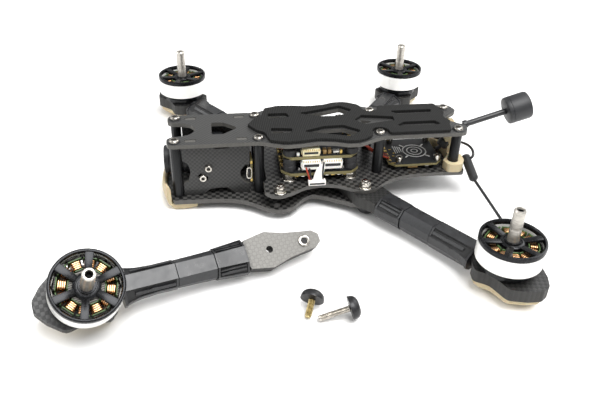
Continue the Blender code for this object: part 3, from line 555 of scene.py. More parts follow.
def makeBell(armName, arm):
    s = bellShape
    low, high, r = s["low"], s["high"], s["radius"]
    bm = bmesh.new()
    join(bm, turnedShape([(12.75, low), (r - 0.4, low), (r, low + 0.3), (r, s["bandTop"]),
                          (12.75, s["bandTop"])], 72), 1)
    join(bm, turnedShape([(12.75, s["bandTop"]), (r - 0.25, s["bandTop"]), (r - 0.25, s["bandTop"] + 0.2),
                          (r, s["bandTop"] + 0.3), (r, high - 0.5), (r - 0.15, high - 0.15), (r - 0.5, high),
                          (13.0, high), (12.7, high - 0.3), (12.5, high - 1.5), (12.75, high - 1.8)], 72), 0)
    join(bm, turnedShape([(2.52, high - 4.0), (4.5, high - 3.9), (4.6, high - 2.7), (s["hub"], high - 2.6),
                          (s["hub"], high - 1.9), (4.8, high - 1.5), (4.0, high - 1.4), (3.8, high - 1.7),
                          (3.4, high - 1.7), (3.2, high - 1.1), (2.52, high - 1.1)], 48), 0)
    reach = 12.8 - 4.7
    for k in range(s["spokes"]):
        spoke = blockShape((reach, s["spokeWidth"], 1.4), 0.15)
        for v in spoke.verts:           # wider and higher towards the rim
            v.co.y *= 1.0 + 0.4 * max(0.0, v.co.x / (reach * mm))
            v.co.z += 0.13 * v.co.x
        turn = Matrix.Rotation(2 * math.pi * k / s["spokes"] + math.radians(arm["spokeTurn"]), 4, "Z")
        join(bm, spoke, 0, turn @ shift(8.75, 0, high - 1.6))
    for k in range(s["magnets"]):
        turn = Matrix.Rotation(2 * math.pi * k / s["magnets"], 4, "Z")
        join(bm, blockShape((0.7, 4.6, 6.0), 0.12, 1), 2, turn @ shift(12.35, 0, 14.4))
    bmesh.ops.transform(bm, matrix=arm["frame"], verts=bm.verts)
    finishPiece("bell_%s_shell" % armName, bm, [capAluminium, whitePaint, shadedNickelMagnet],
                "rotor_" + armName, ["bell_" + armName])
    shaft = bmesh.new()
    end = s["shaftTop"]
    marks = []
    for k in range(14):                 # a shallow thread for the propeller nut
        z = end - 9.2 + k * 0.6
        marks += [(s["shaft"], z), (s["shaft"] - 0.1, z + 0.3)]
    join(shaft, turnedShape([(0, 7.2), (s["shaft"], 7.2)] + marks + [
        (s["shaft"], end - 0.6), (s["shaft"] - 0.45, end), (s["shaftBore"] + 0.15, end),
        (s["shaftBore"], end - 0.2), (s["shaftBore"], end - 5.0), (0, end - 5.0)], 40), 0)
    join(shaft, turnedShape([(0, end - 4.9), (s["shaftBore"] - 0.03, end - 4.9),
                             (s["shaftBore"] - 0.03, end - 0.8),
                             (1.2, end - 0.9), (1.2, end - 4.5), (0, end - 4.5)], 24), 1)
    bmesh.ops.transform(shaft, matrix=arm["frame"], verts=shaft.verts)
    finishPiece("shaft_%s_bar" % armName, shaft, [groundSteel, holeSteel], "rotor_" + armName,
                ["shaft_" + armName])


# stator: a laminated star, powder coated, with a coil on each of its twelve teeth
statorShape = {"teeth": 12, "coilInner": 6.85, "coilOuter": 10.75, "coilWidth": 3.7, "coilHeight": 7.4}


def makeStator(armName, arm):
    s = statorShape
    bm = bmesh.new()
    join(bm, turnedShape([(5.1, 11.6), (6.6, 11.6), (6.6, 18.0), (5.1, 18.0)], 36), 1)
    for k in range(s["teeth"]):
        turn = Matrix.Rotation(2 * math.pi * (k + 0.35) / s["teeth"], 4, "Z")
        join(bm, blockShape((5.4, 1.8, 5.2), 0.1, 1), 1, turn @ shift(8.8, 0, 14.8))
        join(bm, blockShape((0.7, 4.7, 5.2), 0.2, 1), 1, turn @ shift(11.35, 0, 14.8))
        coil = blockShape((s["coilOuter"] - s["coilInner"], s["coilWidth"], s["coilHeight"]), 0.75, 3)
        for v in coil.verts:            # the winding fans out with its slot
            v.co.y *= 1.0 + 60 * v.co.x
        layer = coil.loops.layers.uv.new("strand")
        for face in coil.faces:         # strands are counted along the tooth
            for loop in face.loops:
                loop[layer].uv = (loop.vert.co.x / mm, loop.vert.co.z / mm)
        join(bm, coil, 0, turn @ shift(8.8, 0, 14.8))
        for x, w, h in ((6.75, 3.1, 7.9), (10.85, 5.0, 7.6)):
            join(bm, blockShape((0.45, w, h), 0.12, 1), 2, turn @ shift(x, 0, 14.8))
    bmesh.ops.transform(bm, matrix=arm["frame"], verts=bm.verts)
    finishPiece("stator_%s_coils" % armName, bm, [enamelCopper, stackedSteel, greenEpoxy], arm["body"],
                ["stator_" + armName])


for armName, arm in arms.items():
    makeBell(armName, arm)
    makeStator(armName, arm)
print("motors made")

# arm sleeve in three lengths: the motor end and the root end have a ribbed recess along each
# shoulder, and the middle is set in a little and plain
sleeveShape = {
    "motorEnd": ((13.9, 8.2), (15.2, 7.6), (17.0, 7.1), (19.0, 6.6), (21.6, 6.25), (28.0, 5.9), (36.0, 6.0)),
    "middle": ((36.3, 5.65), (44.0, 5.8), (52.8, 6.05)),
    "rootEnd": ((53.1, 6.6), (60.0, 7.1), (66.9, 7.6)),
    "top": 8.3, "bottom": -2.2, "recess": 0.9, "flat": 3.2,
    "ribs": {"motorEnd": ((0.5, 1.5),), "rootEnd": ((0.3, 0.7), (0.66, 1.2))},
}


# half of the outline from the top flat over the sloping shoulder to the underside; the
# shoulder's floor sinks by the recess depth
def sleeveRing(u, wide, sunk, drop):
    s = sleeveShape
    top, flat = s["top"] - drop, s["flat"] + max(0.0, u - 53) * 0.03
    half = [(flat, top), (flat + 0.1, top - 0.08 - sunk), (wide - 0.6, 5.3 - sunk * 0.7),
            (wide - 0.3, 5.0 - drop),
            (wide, 4.4), (wide, 0.8), (wide - 0.5, -0.2), (4.6, s["bottom"] + drop)]
    return [(u, v, w) for v, w in half] + [(u, -v, w) for v, w in reversed(half)]


def makeSleeve(armName, arm):
    s = sleeveShape
    bm = bmesh.new()
    for part, slot, sunk, drop in (("motorEnd", 0, s["recess"], 0.0), ("middle", 1, 0.0, 0.22),
                                   ("rootEnd", 0, s["recess"], 0.0)):
        stations = list(s[part])
        (u0, wide0), (u1, wide1) = stations[0], stations[-1]
        plan = [(u, wide, sunk if 0.9 < u - u0 and 0.9 < u1 - u else 0.0) for u, wide in stations]
        if sunk:                        # walls close the recess at both ends
            plan += [(u0 + 0.9, wide0, 0.0), (u0 + 1.0, wide0, sunk), (u1 - 1.0, wide1, sunk),
                     (u1 - 0.9, wide1, 0.0)]
        shape = loftShape([sleeveRing(*spot, drop) for spot in sorted(plan)])
        for face in shape.faces:
            x, y, z = face.calc_center_median() / mm
            near = min(stations, key=lambda spot: abs(spot[0] - x))[1]
            slope = s["top"] - (abs(y) - s["flat"]) * (s["top"] - 5.0) / (near - 0.3 - s["flat"])
            floored = sunk and s["flat"] < abs(y) < near - 0.4 and 3 < z < slope - 0.35
            # faces on the recess floor take the nylon painted dark for the shade there
            face.material_index = 2 if floored else 0 if z > s["top"] - 0.3 else slot
        join(bm, shape, None)
        for sign in (-1, 1):            # ribs along the floor of the recess
            for across, ribWide in s["ribs"][part] if sunk else ():
                mean = sum(wide for _,
                           wide in stations[2:]) / len(stations[2:]) if part == "motorEnd" else 7.0
                run, fall = mean - 0.3 - s["flat"], s["top"] - 5.0
                v, w = s["flat"] + run * across, s["top"] - fall * across
                low = u0 + (4.4 if part == "motorEnd" else 1.2)
                join(bm, blockShape((u1 - 1.2 - low, ribWide, 1.0), 0.06, 1), 0,
                     shift((low + u1 - 1.2) / 2, sign * v, w - 0.32, -sign * math.atan2(fall, run), "X"))
    bmesh.ops.transform(bm, matrix=arm["frame"], verts=bm.verts)
    finishPiece("sleeve_%s_shell" % armName, bm, [sleeveNylon, darkNylon, recessShadeNylon], arm["body"],
                ["sleeve_" + armName], smooth=25, edge=0.1)


for armName, arm in arms.items():
    makeSleeve(armName, arm)
print("sleeves made")

# dome-head screws: a smooth dome with a hex socket and a threaded shank
domeScrew = {"radius": 5.0, "height": 3.95, "socket": 1.55, "shank": 1.42, "pitch": 0.5}


def makeDome(name, node, length, place, body, threadMat):
    s = domeScrew
    bm = bmesh.new()
    arc = []
    for k in range(9):
        a = math.radians(90 * k / 8)
        arc.append((1.9 + (s["radius"] - 1.9) * math.sin(a), -0.55 - (s["height"] - 0.55) * math.cos(a)))
    join(bm, turnedShape([(0, -2.2), (1.7, -2.2), (1.75, -s["height"] + 0.1)] + arc +
                         [(s["radius"], -0.08), (1.5, -0.06), (0, -0.06)], 48), 0)
    join(bm, barShape(s["socket"], 0.3, 6, 0.0), 2, shift(0, 0, -2.5))
    thread = [(0, 0.0), (s["shank"] - 0.1, 0.0)]
    for k in range(int((length - 0.6) / s["pitch"])):
        z = 0.4 + k * s["pitch"]
        thread += [(s["shank"], z), (s["shank"] - 0.22, z + s["pitch"] / 2)]
    join(bm, turnedShape(thread + [(s["shank"] - 0.3, length), (0, length)], 24), 1)
    bmesh.ops.transform(bm, matrix=place, verts=bm.verts)
    finishPiece(name, bm, [blackOxide, threadMat, holeSteel], body, [node])


for armName in ("front_right", "rear_right", "rear_left"):
    for which, length in (("outer", 13.4), ("inner", 7.8)):
        node = "dome_screw_%s_%s" % (armName, which)
        low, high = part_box(node)
        centre = [(low[i] + high[i]) / 2 / mm for i in (0, 1)]
        makeDome(node + "_head", node, length, at(centre[0], centre[1], underPlate), "frame", stainless)
looseScrews = {
    "dome_screw_loose_1": ((-15.4, -92.9), (-18.2, -99.9), 7.8, yellowZinc, "screw_1"),
    "dome_screw_loose_2": ((-0.9, -99.7), (-12.4, -100.6), 13.4, stainless, "screw_2"),
}
for node, (start, tip, length, mat, body) in looseScrews.items():
    aim = math.atan2(tip[1] - start[1], tip[0] - start[0])
    dip = math.atan2(5.0 - 1.45, length)
    rise = 5.0 * math.cos(dip) + 0.6 * math.sin(dip) + 0.05
    turn = Matrix.Rotation(aim, 4, "Z") @ Matrix.Rotation(math.radians(90) + dip, 4, "Y")
    makeDome(node + "_head", node, length, at(start[0], start[1], rise) @ turn, body, mat)
print("dome screws made")

# button-head screws through the top plate into the eight standoffs
buttonScrew = {"radius": 2.45, "height": 1.6, "socket": 1.15, "places": [
    (x, y) for x in (-70, -30, 30, 70) for y in (-12, 12)]}
bm = bmesh.new()
for x, y in buttonScrew["places"]:
    s = buttonScrew
    place = at(x, y, topDeck)
    # a black ring under each head, wider than the head, is painted: it stands in for the dark plate reflected
    # in the head's rim
    join(bm, turnedShape([(0, 0.05), (s["radius"] + 0.5, 0.05), (s["radius"] + 0.55, 0.2),
                          (s["radius"] + 0.35, 0.35), (0, 0.35)], 32), 1, place)
    join(bm, turnedShape([(0, 0.36), (s["radius"], 0.36), (s["radius"], 0.75), (s["radius"] - 0.35, 1.25),
                          (s["radius"] - 1.0, s["height"] - 0.05), (s["socket"] + 0.15, s["height"]),
                          (s["socket"] + 0.05,
                           s["height"] - 0.15), (s["socket"], 0.7), (0, 0.7)], 32), 0, place)
    join(bm, barShape(s["socket"] - 0.02, 0.35, 6, 0.05), 2, place @ shift(0, 0, 0.68, 0.4))
finishPiece("top_plate_screws", bm, [headSteel, blackOxide, holeSteel], "frame")

# lock nuts that clamp the arm roots, each with a plain collar and the screw's end
lockNut = {"flat": 5.0, "height": 2.3, "places": [(x, y) for x in (-20.9, 20.9) for y in (-26.4, 26.4)]}
bm = bmesh.new()
for x, y in lockNut["places"]:
    place = at(x, y, midDeck, 0.35)
    join(bm, turnedShape([(1.4, 0.02), (3.0, 0.02), (3.05, 0.3), (2.9, 0.42), (1.4, 0.42)], 32), 0, place)
    join(bm, barShape(lockNut["flat"] / 1.732, lockNut["height"], 6, 0.25), 0, place @ shift(0, 0, 0.42))
    join(bm, turnedShape([(0, 2.7), (2.15, 2.7), (2.15, 3.3), (1.9, 3.7), (1.5, 3.72), (1.45, 3.3), (0, 3.3)],
                         32), 0, place)
    join(bm, turnedShape([(0, 3.0), (1.3, 3.0), (1.3, 4.0), (1.1, 4.2), (0, 4.2)], 24), 1, place)
finishPiece("arm_lock_nuts", bm, [stainless, headSteel], "frame")

# stack posts: a flange and a hex nut under the lower board, rubber between and above the boards
stackPost = {"pitch": 30.5, "rubber": 3.2}
bm = bmesh.new()
for sx in (-1, 1):
    for sy in (-1, 1):
        x, y = sx * stackPost["pitch"] / 2, sy * stackPost["pitch"] / 2
        join(bm, turnedShape([(0, 0.02), (3.5, 0.02), (3.55, 0.4), (3.3, 0.7), (0, 0.7)], 32), 0,
             at(x, y, midDeck))
        join(bm, barShape(3.4, escUnder - midDeck - 0.8, 6, 0.25), 0, at(x, y, midDeck + 0.72, 0.3))
        r, low, high = stackPost["rubber"], escTop + 0.05, fcUnder - 0.05
        middle = (low + high) / 2
        join(bm, turnedShape([(0, low), (r - 0.3, low), (r, low + 0.3), (r, middle - 0.5),
                              (r - 0.25, middle - 0.25),
                              (r - 0.25, middle + 0.25), (r, middle + 0.5), (r, high - 0.3), (r - 0.3, high),
                              (0, high)], 36), 1, at(x, y, 0))
        low = fcTop + 0.05
        join(bm, turnedShape([(0, low), (r - 0.2, low), (r, low + 0.25), (r, low + 3.0), (r - 0.4, low + 3.4),
                              (1.7, low + 3.45), (1.7, low + 3.2), (0, low + 3.2)], 36), 1, at(x, y, 0))
        join(bm, turnedShape([(0, low + 3.22), (1.45, low + 3.22), (1.45, low + 4.0), (1.2, low + 4.25),
                              (0, low + 4.25)], 24), 0, at(x, y, 0))
finishPiece("stack_posts", bm, [stainless, blackRubber], "frame")
print("hardware made")


# boxes on a board: (x, y, z of the base, width, depth, height, material number, edge radius)
def placeChips(bm, chips):
    for x, y, z, w, d, h, slot, edge in chips:
        join(bm, blockShape((w, d, h), edge, 2), slot, at(x, y, z + h / 2))


# a square board's outline with its corners cut off
def boardPlan(half, cut):
    plan = []
    for sx, sy in ((1, -1), (1, 1), (-1, 1), (-1, -1)):
        corner = [(sx * (half - cut), sy * half), (sx * half, sy * (half - cut))]
        plan += corner if sx * sy < 0 else corner[::-1]
    return plan


# board edges show bare fibreglass, so a board is a rim with a film of mask under and over it
def layBoard(bm, rim, mask, under, top, film=0.03):
    join(bm, sheetShape(rim, 0.0, top - under - 0.1), 1, at(0, 0, under + 0.05))
    join(bm, sheetShape(mask, -film, 0.0), 0, at(0, 0, under + 0.05))
    join(bm, sheetShape(mask, 0.0, 0.05), 0, at(0, 0, top - 0.03))


escParts = {"half": 19.35, "mask": 19.2, "cut": 4.2, "fets": 6}
bm = bmesh.new()
layBoard(bm, boardPlan(escParts["half"], escParts["cut"]), boardPlan(escParts["mask"], escParts["cut"]),
         escUnder, escTop)
chips = []
for sx in (-1, 1):
    for k in range(escParts["fets"]):
        y = -10.6 + k * 4.25
        chips.append((sx * 12.3, y, escTop + 0.03, 3.3, 3.3, 0.9, 2, 0.12))
        chips.append((sx * 8.4, y, escTop + 0.03, 3.3, 3.3, 0.9, 2, 0.12))
    for k in range(3):                       # motor pads along both ends
        for sy in (-1, 1):
            chips.append((sx * 18.2, sy * (4.0 + k * 3.6) - sy * 1.0, escTop + 0.03, 1.8, 2.6, 0.25, 3, 0.08))
chips += [(0, 3, escTop + 0.03, 7.0, 7.0, 1.0, 2, 0.15), (0, -7.5, escTop + 0.03, 5.0, 5.0, 1.0, 2, 0.15)]
for x in (-17.6, 17.6):
    chips.append((x, -13.0, escTop + 0.2, 1.6, 1.1, 2.2, 4, 0.15))
placeChips(bm, chips)
for x in (-10.6, -9.0, -7.4, 8.2, 9.8, 11.4):      # solder beads along both edges
    for sy in (-1, 1):
        bead = turnedShape([(0, 0), (0.75, 0), (0.8, 0.3), (0.6, 1.2), (0.3, 1.6), (0, 1.65)], 16)
        join(bm, bead, 5, at(x, sy * 16.4, escTop + 0.03))
for k in range(9):
    x = -12.0 + k * 3.0
    for sy in (-1, 1):
        join(bm, blockShape((1.7, 1.6, 0.7), 0.12, 1), 5 if k % 2 else 3, at(x, sy * 18.3, escUnder - 0.3))
finishPiece("esc_board_parts", bm, [blackMask, bareFibreglass, chipEpoxy, goldFlash, capCeramic, solder],
            "frame",
            ["esc_board"])

fcParts = {"half": 18.55, "mask": 18.4, "cut": 3.8}
bm = bmesh.new()
layBoard(bm, boardPlan(fcParts["half"], fcParts["cut"]), boardPlan(fcParts["mask"], fcParts["cut"]),
         fcUnder, fcTop)
chips = [(0, 2, fcTop + 0.02, 7.2, 7.2, 1.1, 2, 0.15), (9.5, 6, fcTop + 0.02, 3.5, 3.5, 0.9, 2, 0.1),
         (-9.5, -3, fcTop + 0.02, 3.0, 4.0, 0.9, 2, 0.1), (1.8, -15.6, fcTop + 0.02, 1.7, 2.6, 2.4, 4, 0.15),
         (4.2, -15.6, fcTop + 0.02, 1.7, 2.6, 2.4, 4, 0.15), (7.6, -15.8, fcTop + 0.02, 3.4, 2.4, 1.5, 5,
                                                              0.15),
         (9.8, -16.8, fcTop + 0.02, 1.2, 1.6, 2.2, 3, 0.15), (-11.4, -17.0, fcTop + 0.02, 1.4, 1.4, 1.7,
                                                              6, 0.15)]
for k in range(7):
    for sx in (-1, 1):
        chips.append((sx * 17.3, -9.0 + k * 3.0, fcTop + 0.02, 1.5, 1.8, 0.25, 3, 0.08))
        chips.append((sx * 14.6, -7.5 + k * 2.6, fcTop + 0.02, 1.0, 0.6, 0.5, 4, 0.08))
for sx in (-1, 1):                              # coils standing under the ends of the board
    for k in range(3):
        chips.append((sx * 17.2, -12.4 + k * 4.6, fcUnder - 2.9, 1.7, 2.8, 2.8, 4 if k % 2 else 3, 0.25))
placeChips(bm, chips)
finishPiece("flight_controller_parts", bm, [blackMask, bareFibreglass, chipEpoxy, goldFlash, capCeramic,
                                            solder,
                                             whiteNylon], "frame", ["flight_controller"])


# a wire connector: a shrouded box with its mouth towards the near side and a row of contacts
def makeConnector(bm, x, y, z, wide, deep, tall, ways, slot):
    shell = blockShape((wide, deep, tall), 0.25, 2)
    join(bm, shell, slot, at(x, y, z + tall / 2))
    join(bm, blockShape((wide - 1.6, 0.3, tall * 0.3), 0.08, 1), 2, at(x, y - deep / 2, z + tall * 0.45))
    for k in range(ways):
        across = x - wide / 2 + wide * (k + 0.5) / ways
        join(bm, blockShape((0.35, 0.5, 0.9), 0.08, 1), 3, at(across, y - deep / 2 - 0.05, z + tall - 0.5))
    for end in (-1, 1):
        join(bm, blockShape((0.7, deep * 0.6, tall * 0.55), 0.15, 1), slot,
             at(x + end * (wide / 2 + 0.2), y + 0.3, z + tall * 0.4))


connectors = {"under": (((-4.9, -17.4), 9.0, 8), ((5.6, -17.4), 9.2, 8)), "onTop": ((-5.1, -16.3), 8.4, 8)}
bm = bmesh.new()
for (x, y), wide, ways in connectors["under"]:
    makeConnector(bm, x, y, fcUnder - 5.2, wide, 4.4, 5.1, ways, 0)
(x, y), wide, ways = connectors["onTop"]
makeConnector(bm, x, y, fcTop + 0.05, wide, 4.2, 3.9, ways, 1)
# a loose plug hanging from the left connector by its ribbon
join(bm, blockShape((8.6, 3.0, 2.4), 0.3), 0, at(-2.4, -22.0, midDeck + 1.6))
join(bm, blockShape((7.4, 0.4, 1.0), 0.1, 1), 2, at(-2.4, -23.4, midDeck + 1.5))
ribbon = [((x0, y0, z0), (x0 + w, y0 - 0.1, z0), (x0 + w, y0 + 0.5, z0 + 0.3), (x0, y0 + 0.6, z0 + 0.3))
          for x0, y0, z0, w in ((-4.4, -21.9, midDeck + 2.6, 5.0), (-3.6, -21.2, midDeck + 5.2, 4.4),
                                (-2.2, -20.2, midDeck + 7.9, 3.6), (-1.0, -19.3, midDeck + 9.6, 3.2))]
join(bm, loftShape(ribbon), 0, at(0, 0, 0))
finishPiece("board_connectors", bm, [whiteNylon, creamNylon, chipEpoxy, goldFlash], "frame")
bm = bmesh.new()
join(bm, wireShape(((-6.0, -19.7, 22.8), (-5.6, -20.8, 21.2), (-5.4, -21.2, 19.2), (-5.2, -21.6, 17.0)),
                   0.4), 0)
join(bm, wireShape(((-7.6, -19.6, 23.3), (-7.2, -20.8, 21.6), (-6.4, -21.2, 19.4), (-5.9, -21.4, 17.0)),
                   0.4), 1)
join(bm, wireShape(((1.2, -19.4, 25.6), (0.8, -20.6, 24.2), (0.2, -21.4, 20.8), (0.6, -21.6, 17.0)), 0.4), 0)
finishPiece("connector_wires", bm, [blackPvc, redPvc], "frame")
print("boards made")

# wiring between the boards and the camera and transmitter, each wire held at both ends
wirePaths = {
    "toCamera": [((-13.5, -12.5 + k * 1.3, fcTop + 0.9), (-18.5, -13.2 + k * 1.3, 31.0 + k * 0.5),
                  (-25.5, -10.6 + k * 1.2, 32.2 + k * 0.4), (-31.5, -6.0 + k, 30.2),
                  (-38.0, -3.4 + k, 27.4), (-44.5, -2.6 + k, 26.0)) for k in range(4)],
    "toTransmitter": [((14.4, -9.5 + k * 1.3, fcTop + 0.9), (20.5, -12.0 + k * 1.3, 30.5 + k * 0.5),
                       (25.0, -11.6 + k * 1.3, 29.4 - k * 0.8), (28.5, -9.5 + k * 1.3, 24.5 - k),
                       (33.0, -7.6 + k * 1.3, 20.8), (37.4, -6.8 + k * 1.3, vtxTop + 0.4)) for k in range(4)],
}
for name, paths in wirePaths.items():
    bm = bmesh.new()
    for k, path in enumerate(paths):
        join(bm, wireShape(path, 0.5), k % 3)
    finishPiece("wires_" + name, bm, [redPvc, blackPvc, redPvc], "frame")

# charging board with its socket behind the left camera plate
usbBoard = {"x": -33.7, "low": 12.0, "high": 24.6}
bm = bmesh.new()
s = usbBoard
tall = s["high"] - s["low"]
join(bm, blockShape((1.0, 9.0, tall), 0.15, 1), 1, at(s["x"], -7.8, (s["low"] + s["high"]) / 2))
join(bm, blockShape((1.12, 8.6, tall - 0.5), 0.1, 1), 0, at(s["x"], -7.8, (s["low"] + s["high"]) / 2))
for z in (s["low"] + 1.2, s["high"] - 1.2):
    join(bm, blockShape((1.3, 1.4, 1.3), 0.15, 1), 2, at(s["x"], -11.9, z))
ring = []
for r, reach in ((1.0, 0.0), (1.0, 2.6), (0.82, 2.6), (0.82, 0.4)):
    ring.append([(reach, math.copysign(abs(math.cos(a)) ** 0.7, math.cos(a)) * 1.35 * r,
                  math.copysign(abs(math.sin(a)) ** 0.7, math.sin(a)) * 3.3 * r)
                 for a in [2 * math.pi * k / 32 for k in range(32)]])
join(bm, loftShape(ring), 3, at(-34.9, -10.2, 17.6, math.radians(-90)))
join(bm, blockShape((1.1, 0.5, 4.2), 0.1, 1), 4, at(-34.9, -12.3, 17.6))
finishPiece("charging_board", bm, [blackMask, bareFibreglass, goldFlash, stainless, chipEpoxy], "frame")

# camera: stepped barrel with a knurled ring, coated glass, side screws through both plates
cameraShape = {"pivot": (-54.7, 21.5), "slot": 6.04, "slotAngle": 241.3, "plate": 12.5}
px, pz = cameraShape["pivot"]
lens = at(px, 0, pz - 1.0) @ Matrix.Rotation(math.radians(-90), 4, "Y")
bm = bmesh.new()
join(bm, turnedShape([(0, 9.3), (6.9, 9.3), (7.0, 9.6), (7.0, 12.2), (6.4, 12.4), (6.4, 12.9), (6.9, 13.1),
                      (6.9, 18.2), (6.6, 18.6), (6.6, 19.2), (6.95, 19.4), (7.0, 21.1), (6.6, 21.55),
                      (5.9, 21.6), (5.5, 20.6), (5.1, 20.5), (0, 20.3)], 64), 0, lens)
for k in range(40):
    turn = Matrix.Rotation(2 * math.pi * k / 40, 4, "Z")
    join(bm, blockShape((0.25, 0.5, 4.2), 0.06, 1), 0, lens @ turn @ shift(6.9, 0, 15.7))
join(bm, turnedShape([(0, 20.32), (5.0, 20.32), (5.0, 20.5), (4.2, 20.95), (3.0, 21.25), (1.5, 21.42),
                      (0, 21.47)],
                     48), 1, lens)
finishPiece("camera_lens_barrel", bm, [sparkedPlastic, coatedGlass], "camera", ["camera_lens"])
bm = bmesh.new()
angle = math.radians(cameraShape["slotAngle"])
reach = cameraShape["slot"]
spots = [(px, pz), (px + reach * math.cos(angle), pz + reach * math.sin(angle))]
for x, z in spots:
    for sy in (-1, 1):
        place = at(x, sy * cameraShape["plate"], z) @ Matrix.Rotation(math.radians(90 * -sy), 4, "X")
        join(bm, turnedShape([(0, 0.05), (1.8, 0.05), (1.9, 0.25), (1.9, 0.9), (1.6, 1.3), (0.95, 1.35),
                              (0.85, 1.2), (0.8, 0.5), (0, 0.5)], 32), 0, place)
        join(bm, barShape(0.78, 0.25, 6, 0.03), 1, place @ shift(0, 0, 0.45))
finishPiece("camera_screws", bm, [stainless, holeSteel], "camera")
bm = bmesh.new()
join(bm, blockShape((0.9, 15.0, 13.5), 0.2, 1), 0, at(px + 8.9, 0, pz))
join(bm, blockShape((2.4, 7.0, 3.0), 0.2, 1), 1, at(px + 10.4, 0, pz + 3.0))
for k in range(3):
    join(bm, blockShape((1.0, 3.0, 2.2), 0.12, 1), 2, at(px + 9.8, -4.5 + k * 4.5, pz - 3.5))
finishPiece("camera_back_board", bm, [blackMask, whiteNylon, chipEpoxy], "camera")
print("camera made")

# video transmitter: corner screws, pads at the front edge, a printed target and parts beneath
vtx = {"x": (36.4, 64.2), "y": 13.2, "screws": [(x, y) for x in (42, 62) for y in (-10, 10)]}
bm = bmesh.new()
midX, halfX = sum(vtx["x"]) / 2, (vtx["x"][1] - vtx["x"][0]) / 2
corners = ((1, -1, 3, 0), (1, -1, 0, 3), (1, 1, 0, 3), (1, 1, 3, 0),
           (-1, 1, 3, 0), (-1, 1, 0, 3), (-1, -1, 0, 3), (-1, -1, 3, 0))
plan = [(midX + a * (halfX - 0.05 - c), b * (vtx["y"] - 0.05 - e)) for a, b, c, e in corners]
shrunk = [(midX + (x - midX) * 0.99, y * 0.988) for x, y in plan]
layBoard(bm, plan, shrunk, vtxUnder, vtxTop, 0.04)
chips = []
for k in range(6):
    chips.append((37.6, -8.4 + k * 3.2, vtxTop + 0.02, 1.5, 1.9, 0.16, 2, 0.06))
for x, y, w in ((40.5, -4.5, 1.3), (41.5, -1.6, 1.0), (40.2, 2.2, 1.2), (43.6, -8.2, 1.1),
                (38.9, -11.4, 2.6)):
    chips.append((x, y, vtxTop + 0.02, w, 0.8, 0.16, 2, 0.06))
for x, y, w, d in ((44, -6, 7, 6), (54, -5, 9, 8), (50, 6, 12, 7), (60, 4, 4, 6)):
    chips.append((x, y, vtxUnder - 1.6, w, d, 1.6, 3, 0.15))
chips += [(49.0, -11.6, vtxUnder - 1.4, 5.0, 1.8, 1.3, 4, 0.2),
          (56.4, -11.9, vtxUnder - 1.0, 2.0, 1.2, 0.9, 5, 0.1)]
placeChips(bm, chips)
for r in (2.0, 4.2, 6.4):                                  # a plain printed target
    join(bm, turnedShape([(r - 0.65, 0.0), (r, 0.0), (r, 0.06), (r - 0.65, 0.06)], 48), 6,
         at(53.0, 0.0, vtxTop + 0.03))
for k in range(4):
    turn = at(53.0, 0.0, vtxTop + 0.05, math.radians(45 + 90 * k))
    join(bm, blockShape((2.6, 0.8, 0.06), 0.01, 1), 6, turn @ shift(7.9, 0, 0))
for k in range(4):
    join(bm, blockShape((0.55, 8.0 - k, 0.06), 0.01, 1), 6, at(42.6 + k * 1.1, 2.0, vtxTop + 0.05))
finishPiece("vtx_board_parts", bm, [blackMask, bareFibreglass, goldFlash, chipEpoxy, capCeramic, solder,
                                    printInk],
            "frame", ["vtx_board"])
bm = bmesh.new()
for x, y in vtx["screws"]:
    join(bm, turnedShape([(0, 0.02), (1.9, 0.02), (1.9, vtxUnder - midDeck - 0.1),
                          (0, vtxUnder - midDeck - 0.1)],
                         24), 1, at(x, y, midDeck))
    join(bm, turnedShape([(0, 0.02), (1.7, 0.02), (1.75, 0.3), (1.75, 2.7), (1.5, 3.0), (0.95, 3.02),
                          (0.85, 2.6),
                          (0.85, 1.8), (0, 1.8)], 28), 0, at(x, y, vtxTop + 0.03))
    join(bm, barShape(0.82, 0.25, 6, 0.03), 2, at(x, y, vtxTop + 1.78))
finishPiece("vtx_screws", bm, [stainless, blackRubber, holeSteel], "frame")
print("transmitter made")

# antennas: a moulded cap on a stiff mast in a boot, and a coaxial lead to the receiver antenna
antenna = {"root": (77.5, 0, 32.3), "tip": (98.0, 0, 38.8), "cap": 7.1, "capLength": 12.3}
rootAt, tipAt = Vector(antenna["root"]), Vector(antenna["tip"])
lean = math.atan2(tipAt.x - rootAt.x, tipAt.z - rootAt.z)
mastTurn = Matrix.Rotation(lean, 4, "Y")
bm = bmesh.new()
r, c0, c1 = antenna["cap"], 1.4, 1.4 + antenna["capLength"]
join(bm, turnedShape([(0, c0), (r - 1.1, c0), (r - 0.25, c0 + 0.35), (r - 0.05, c0 + 1.0),
                      (r - 0.05, c0 + 2.1),
                      (r - 0.2, c0 + 2.2), (r - 0.2,
                                            c0 + 2.4), (r, c0 + 2.5), (r, c1 - 1.3), (r - 0.4, c1 - 0.45),
                      (r - 1.3, c1), (0, c1)], 64), 0, at(*antenna["tip"]) @ mastTurn)
finishPiece("antenna_cap_shell", bm, [sparkedPlastic], "frame", ["antenna_cap"])
bm = bmesh.new()
length = (tipAt - rootAt).length
join(bm, turnedShape([(0, 0), (2.15, 0), (2.2, 0.3), (2.2, 1.6), (1.9, 2.2), (1.55, 2.8),
                      (1.55, length + 1.2), (0, length + 1.2)], 32), 0, at(*antenna["root"]) @ mastTurn)
finishPiece("antenna_mast_tube", bm, [blackPvc], "frame", ["antenna_mast"])
bm = bmesh.new()
join(bm, wireShape(((64.6, -1.0, vtxTop + 1.2), (67.5, -2.8, 23.0), (69.0, -4.6, 27.0), (70.5, -4.8, 31.0),
                    (73.6, -3.4, 32.6), (77.2, -0.8, 32.6)), 1.0), 0)
join(bm, wireShape(((70.0, 3.4, 19.6), (76.0, 3.2, 21.6), (81.4, -2.0, 22.2), (82.6, -8.6, 21.0),
                    (81.2, -11.4, 18.6), (79.0, -9.4, 17.4)), 0.7), 0)
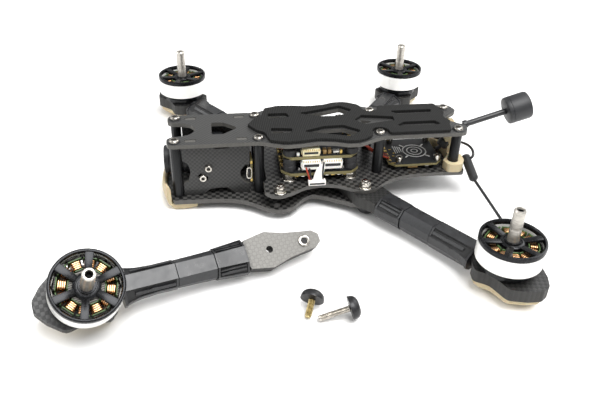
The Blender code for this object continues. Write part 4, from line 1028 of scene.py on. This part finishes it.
join(bm, turnedShape([(0, 0), (2.6, 0), (2.9, 0.4), (2.9, 3.2), (2.3, 3.6), (2.3, 5.2), (0, 5.2)], 32), 1,
     at(66.0, -3.0, 22.4) @ Matrix.Rotation(math.radians(35), 4, "Y"))
finishPiece("antenna_leads", bm, [blackPvc, blackRubber], "frame")
print("antennas made")

# press nut seated in the top of the lying arm's root
pressNut = {"along": 95.0, "radius": 2.75, "seat": 5.95}
bm = bmesh.new()
place = arms["front_left"]["frame"] @ shift(pressNut["along"], 0, pressNut["seat"])
join(bm, turnedShape([(1.5, 0.05), (2.4, 0.05), (pressNut["radius"], 0.2), (pressNut["radius"], 0.5),
                      (2.5, 0.7),
                      (1.75, 0.72), (1.5, 0.5)], 40), 0, place)
join(bm, turnedShape([(0, 0.0), (1.45, 0.0), (1.45, 0.2), (0, 0.2)], 24), 1, place)
finishPiece("arm_press_nut", bm, [stainless, holeSteel], "loose_arm")

# plain pale floor and soft studio light
bm = bmesh.new()
bmesh.ops.create_grid(bm, x_segments=1, y_segments=1, size=6.0)
bmesh.ops.translate(bm, vec=(0, 0, ground - 0.00002), verts=bm.verts)
floorData = bpy.data.meshes.new("floor")
bm.to_mesh(floorData)
bm.free()
floor = bpy.data.objects.new("floor", floorData)
bpy.context.scene.collection.objects.link(floor)
# Matt white paper: even, with no shine
floorData.materials.append(grained("mattPaper", {"dark": "f4f3f2", "light": "f8f8f7", "grain": 40.0,
                                                 "rough": (0.9, 0.95), "relief": 0.0}))

lights = {
    "key": {"place": (0.24, -0.42, 1.14), "size": 0.8, "power": 20},
    "left": {"place": (-1.1, 0.2, 0.7), "size": 0.8, "power": 6},
    "rear": {"place": (1.05, 0.5, 0.9), "size": 0.8, "power": 8},
}
for name, light in lights.items():
    data = bpy.data.lights.new(name, "AREA")
    data.size = light["size"]
    data.energy = light["power"]
    lamp = bpy.data.objects.new(name, data)
    lamp.location = light["place"]
    lamp.rotation_euler = (-Vector(light["place"])).to_track_quat("-Z", "Y").to_euler()
    bpy.context.scene.collection.objects.link(lamp)
world = bpy.data.worlds.new("studio")
world.use_nodes = True
world.node_tree.nodes["Background"].inputs["Color"].default_value = colourOf("ffffff")
world.node_tree.nodes["Background"].inputs["Strength"].default_value = 0.6
bpy.context.scene.world = world
bpy.context.scene.view_settings.view_transform = "Standard"
print("floor and lights set")
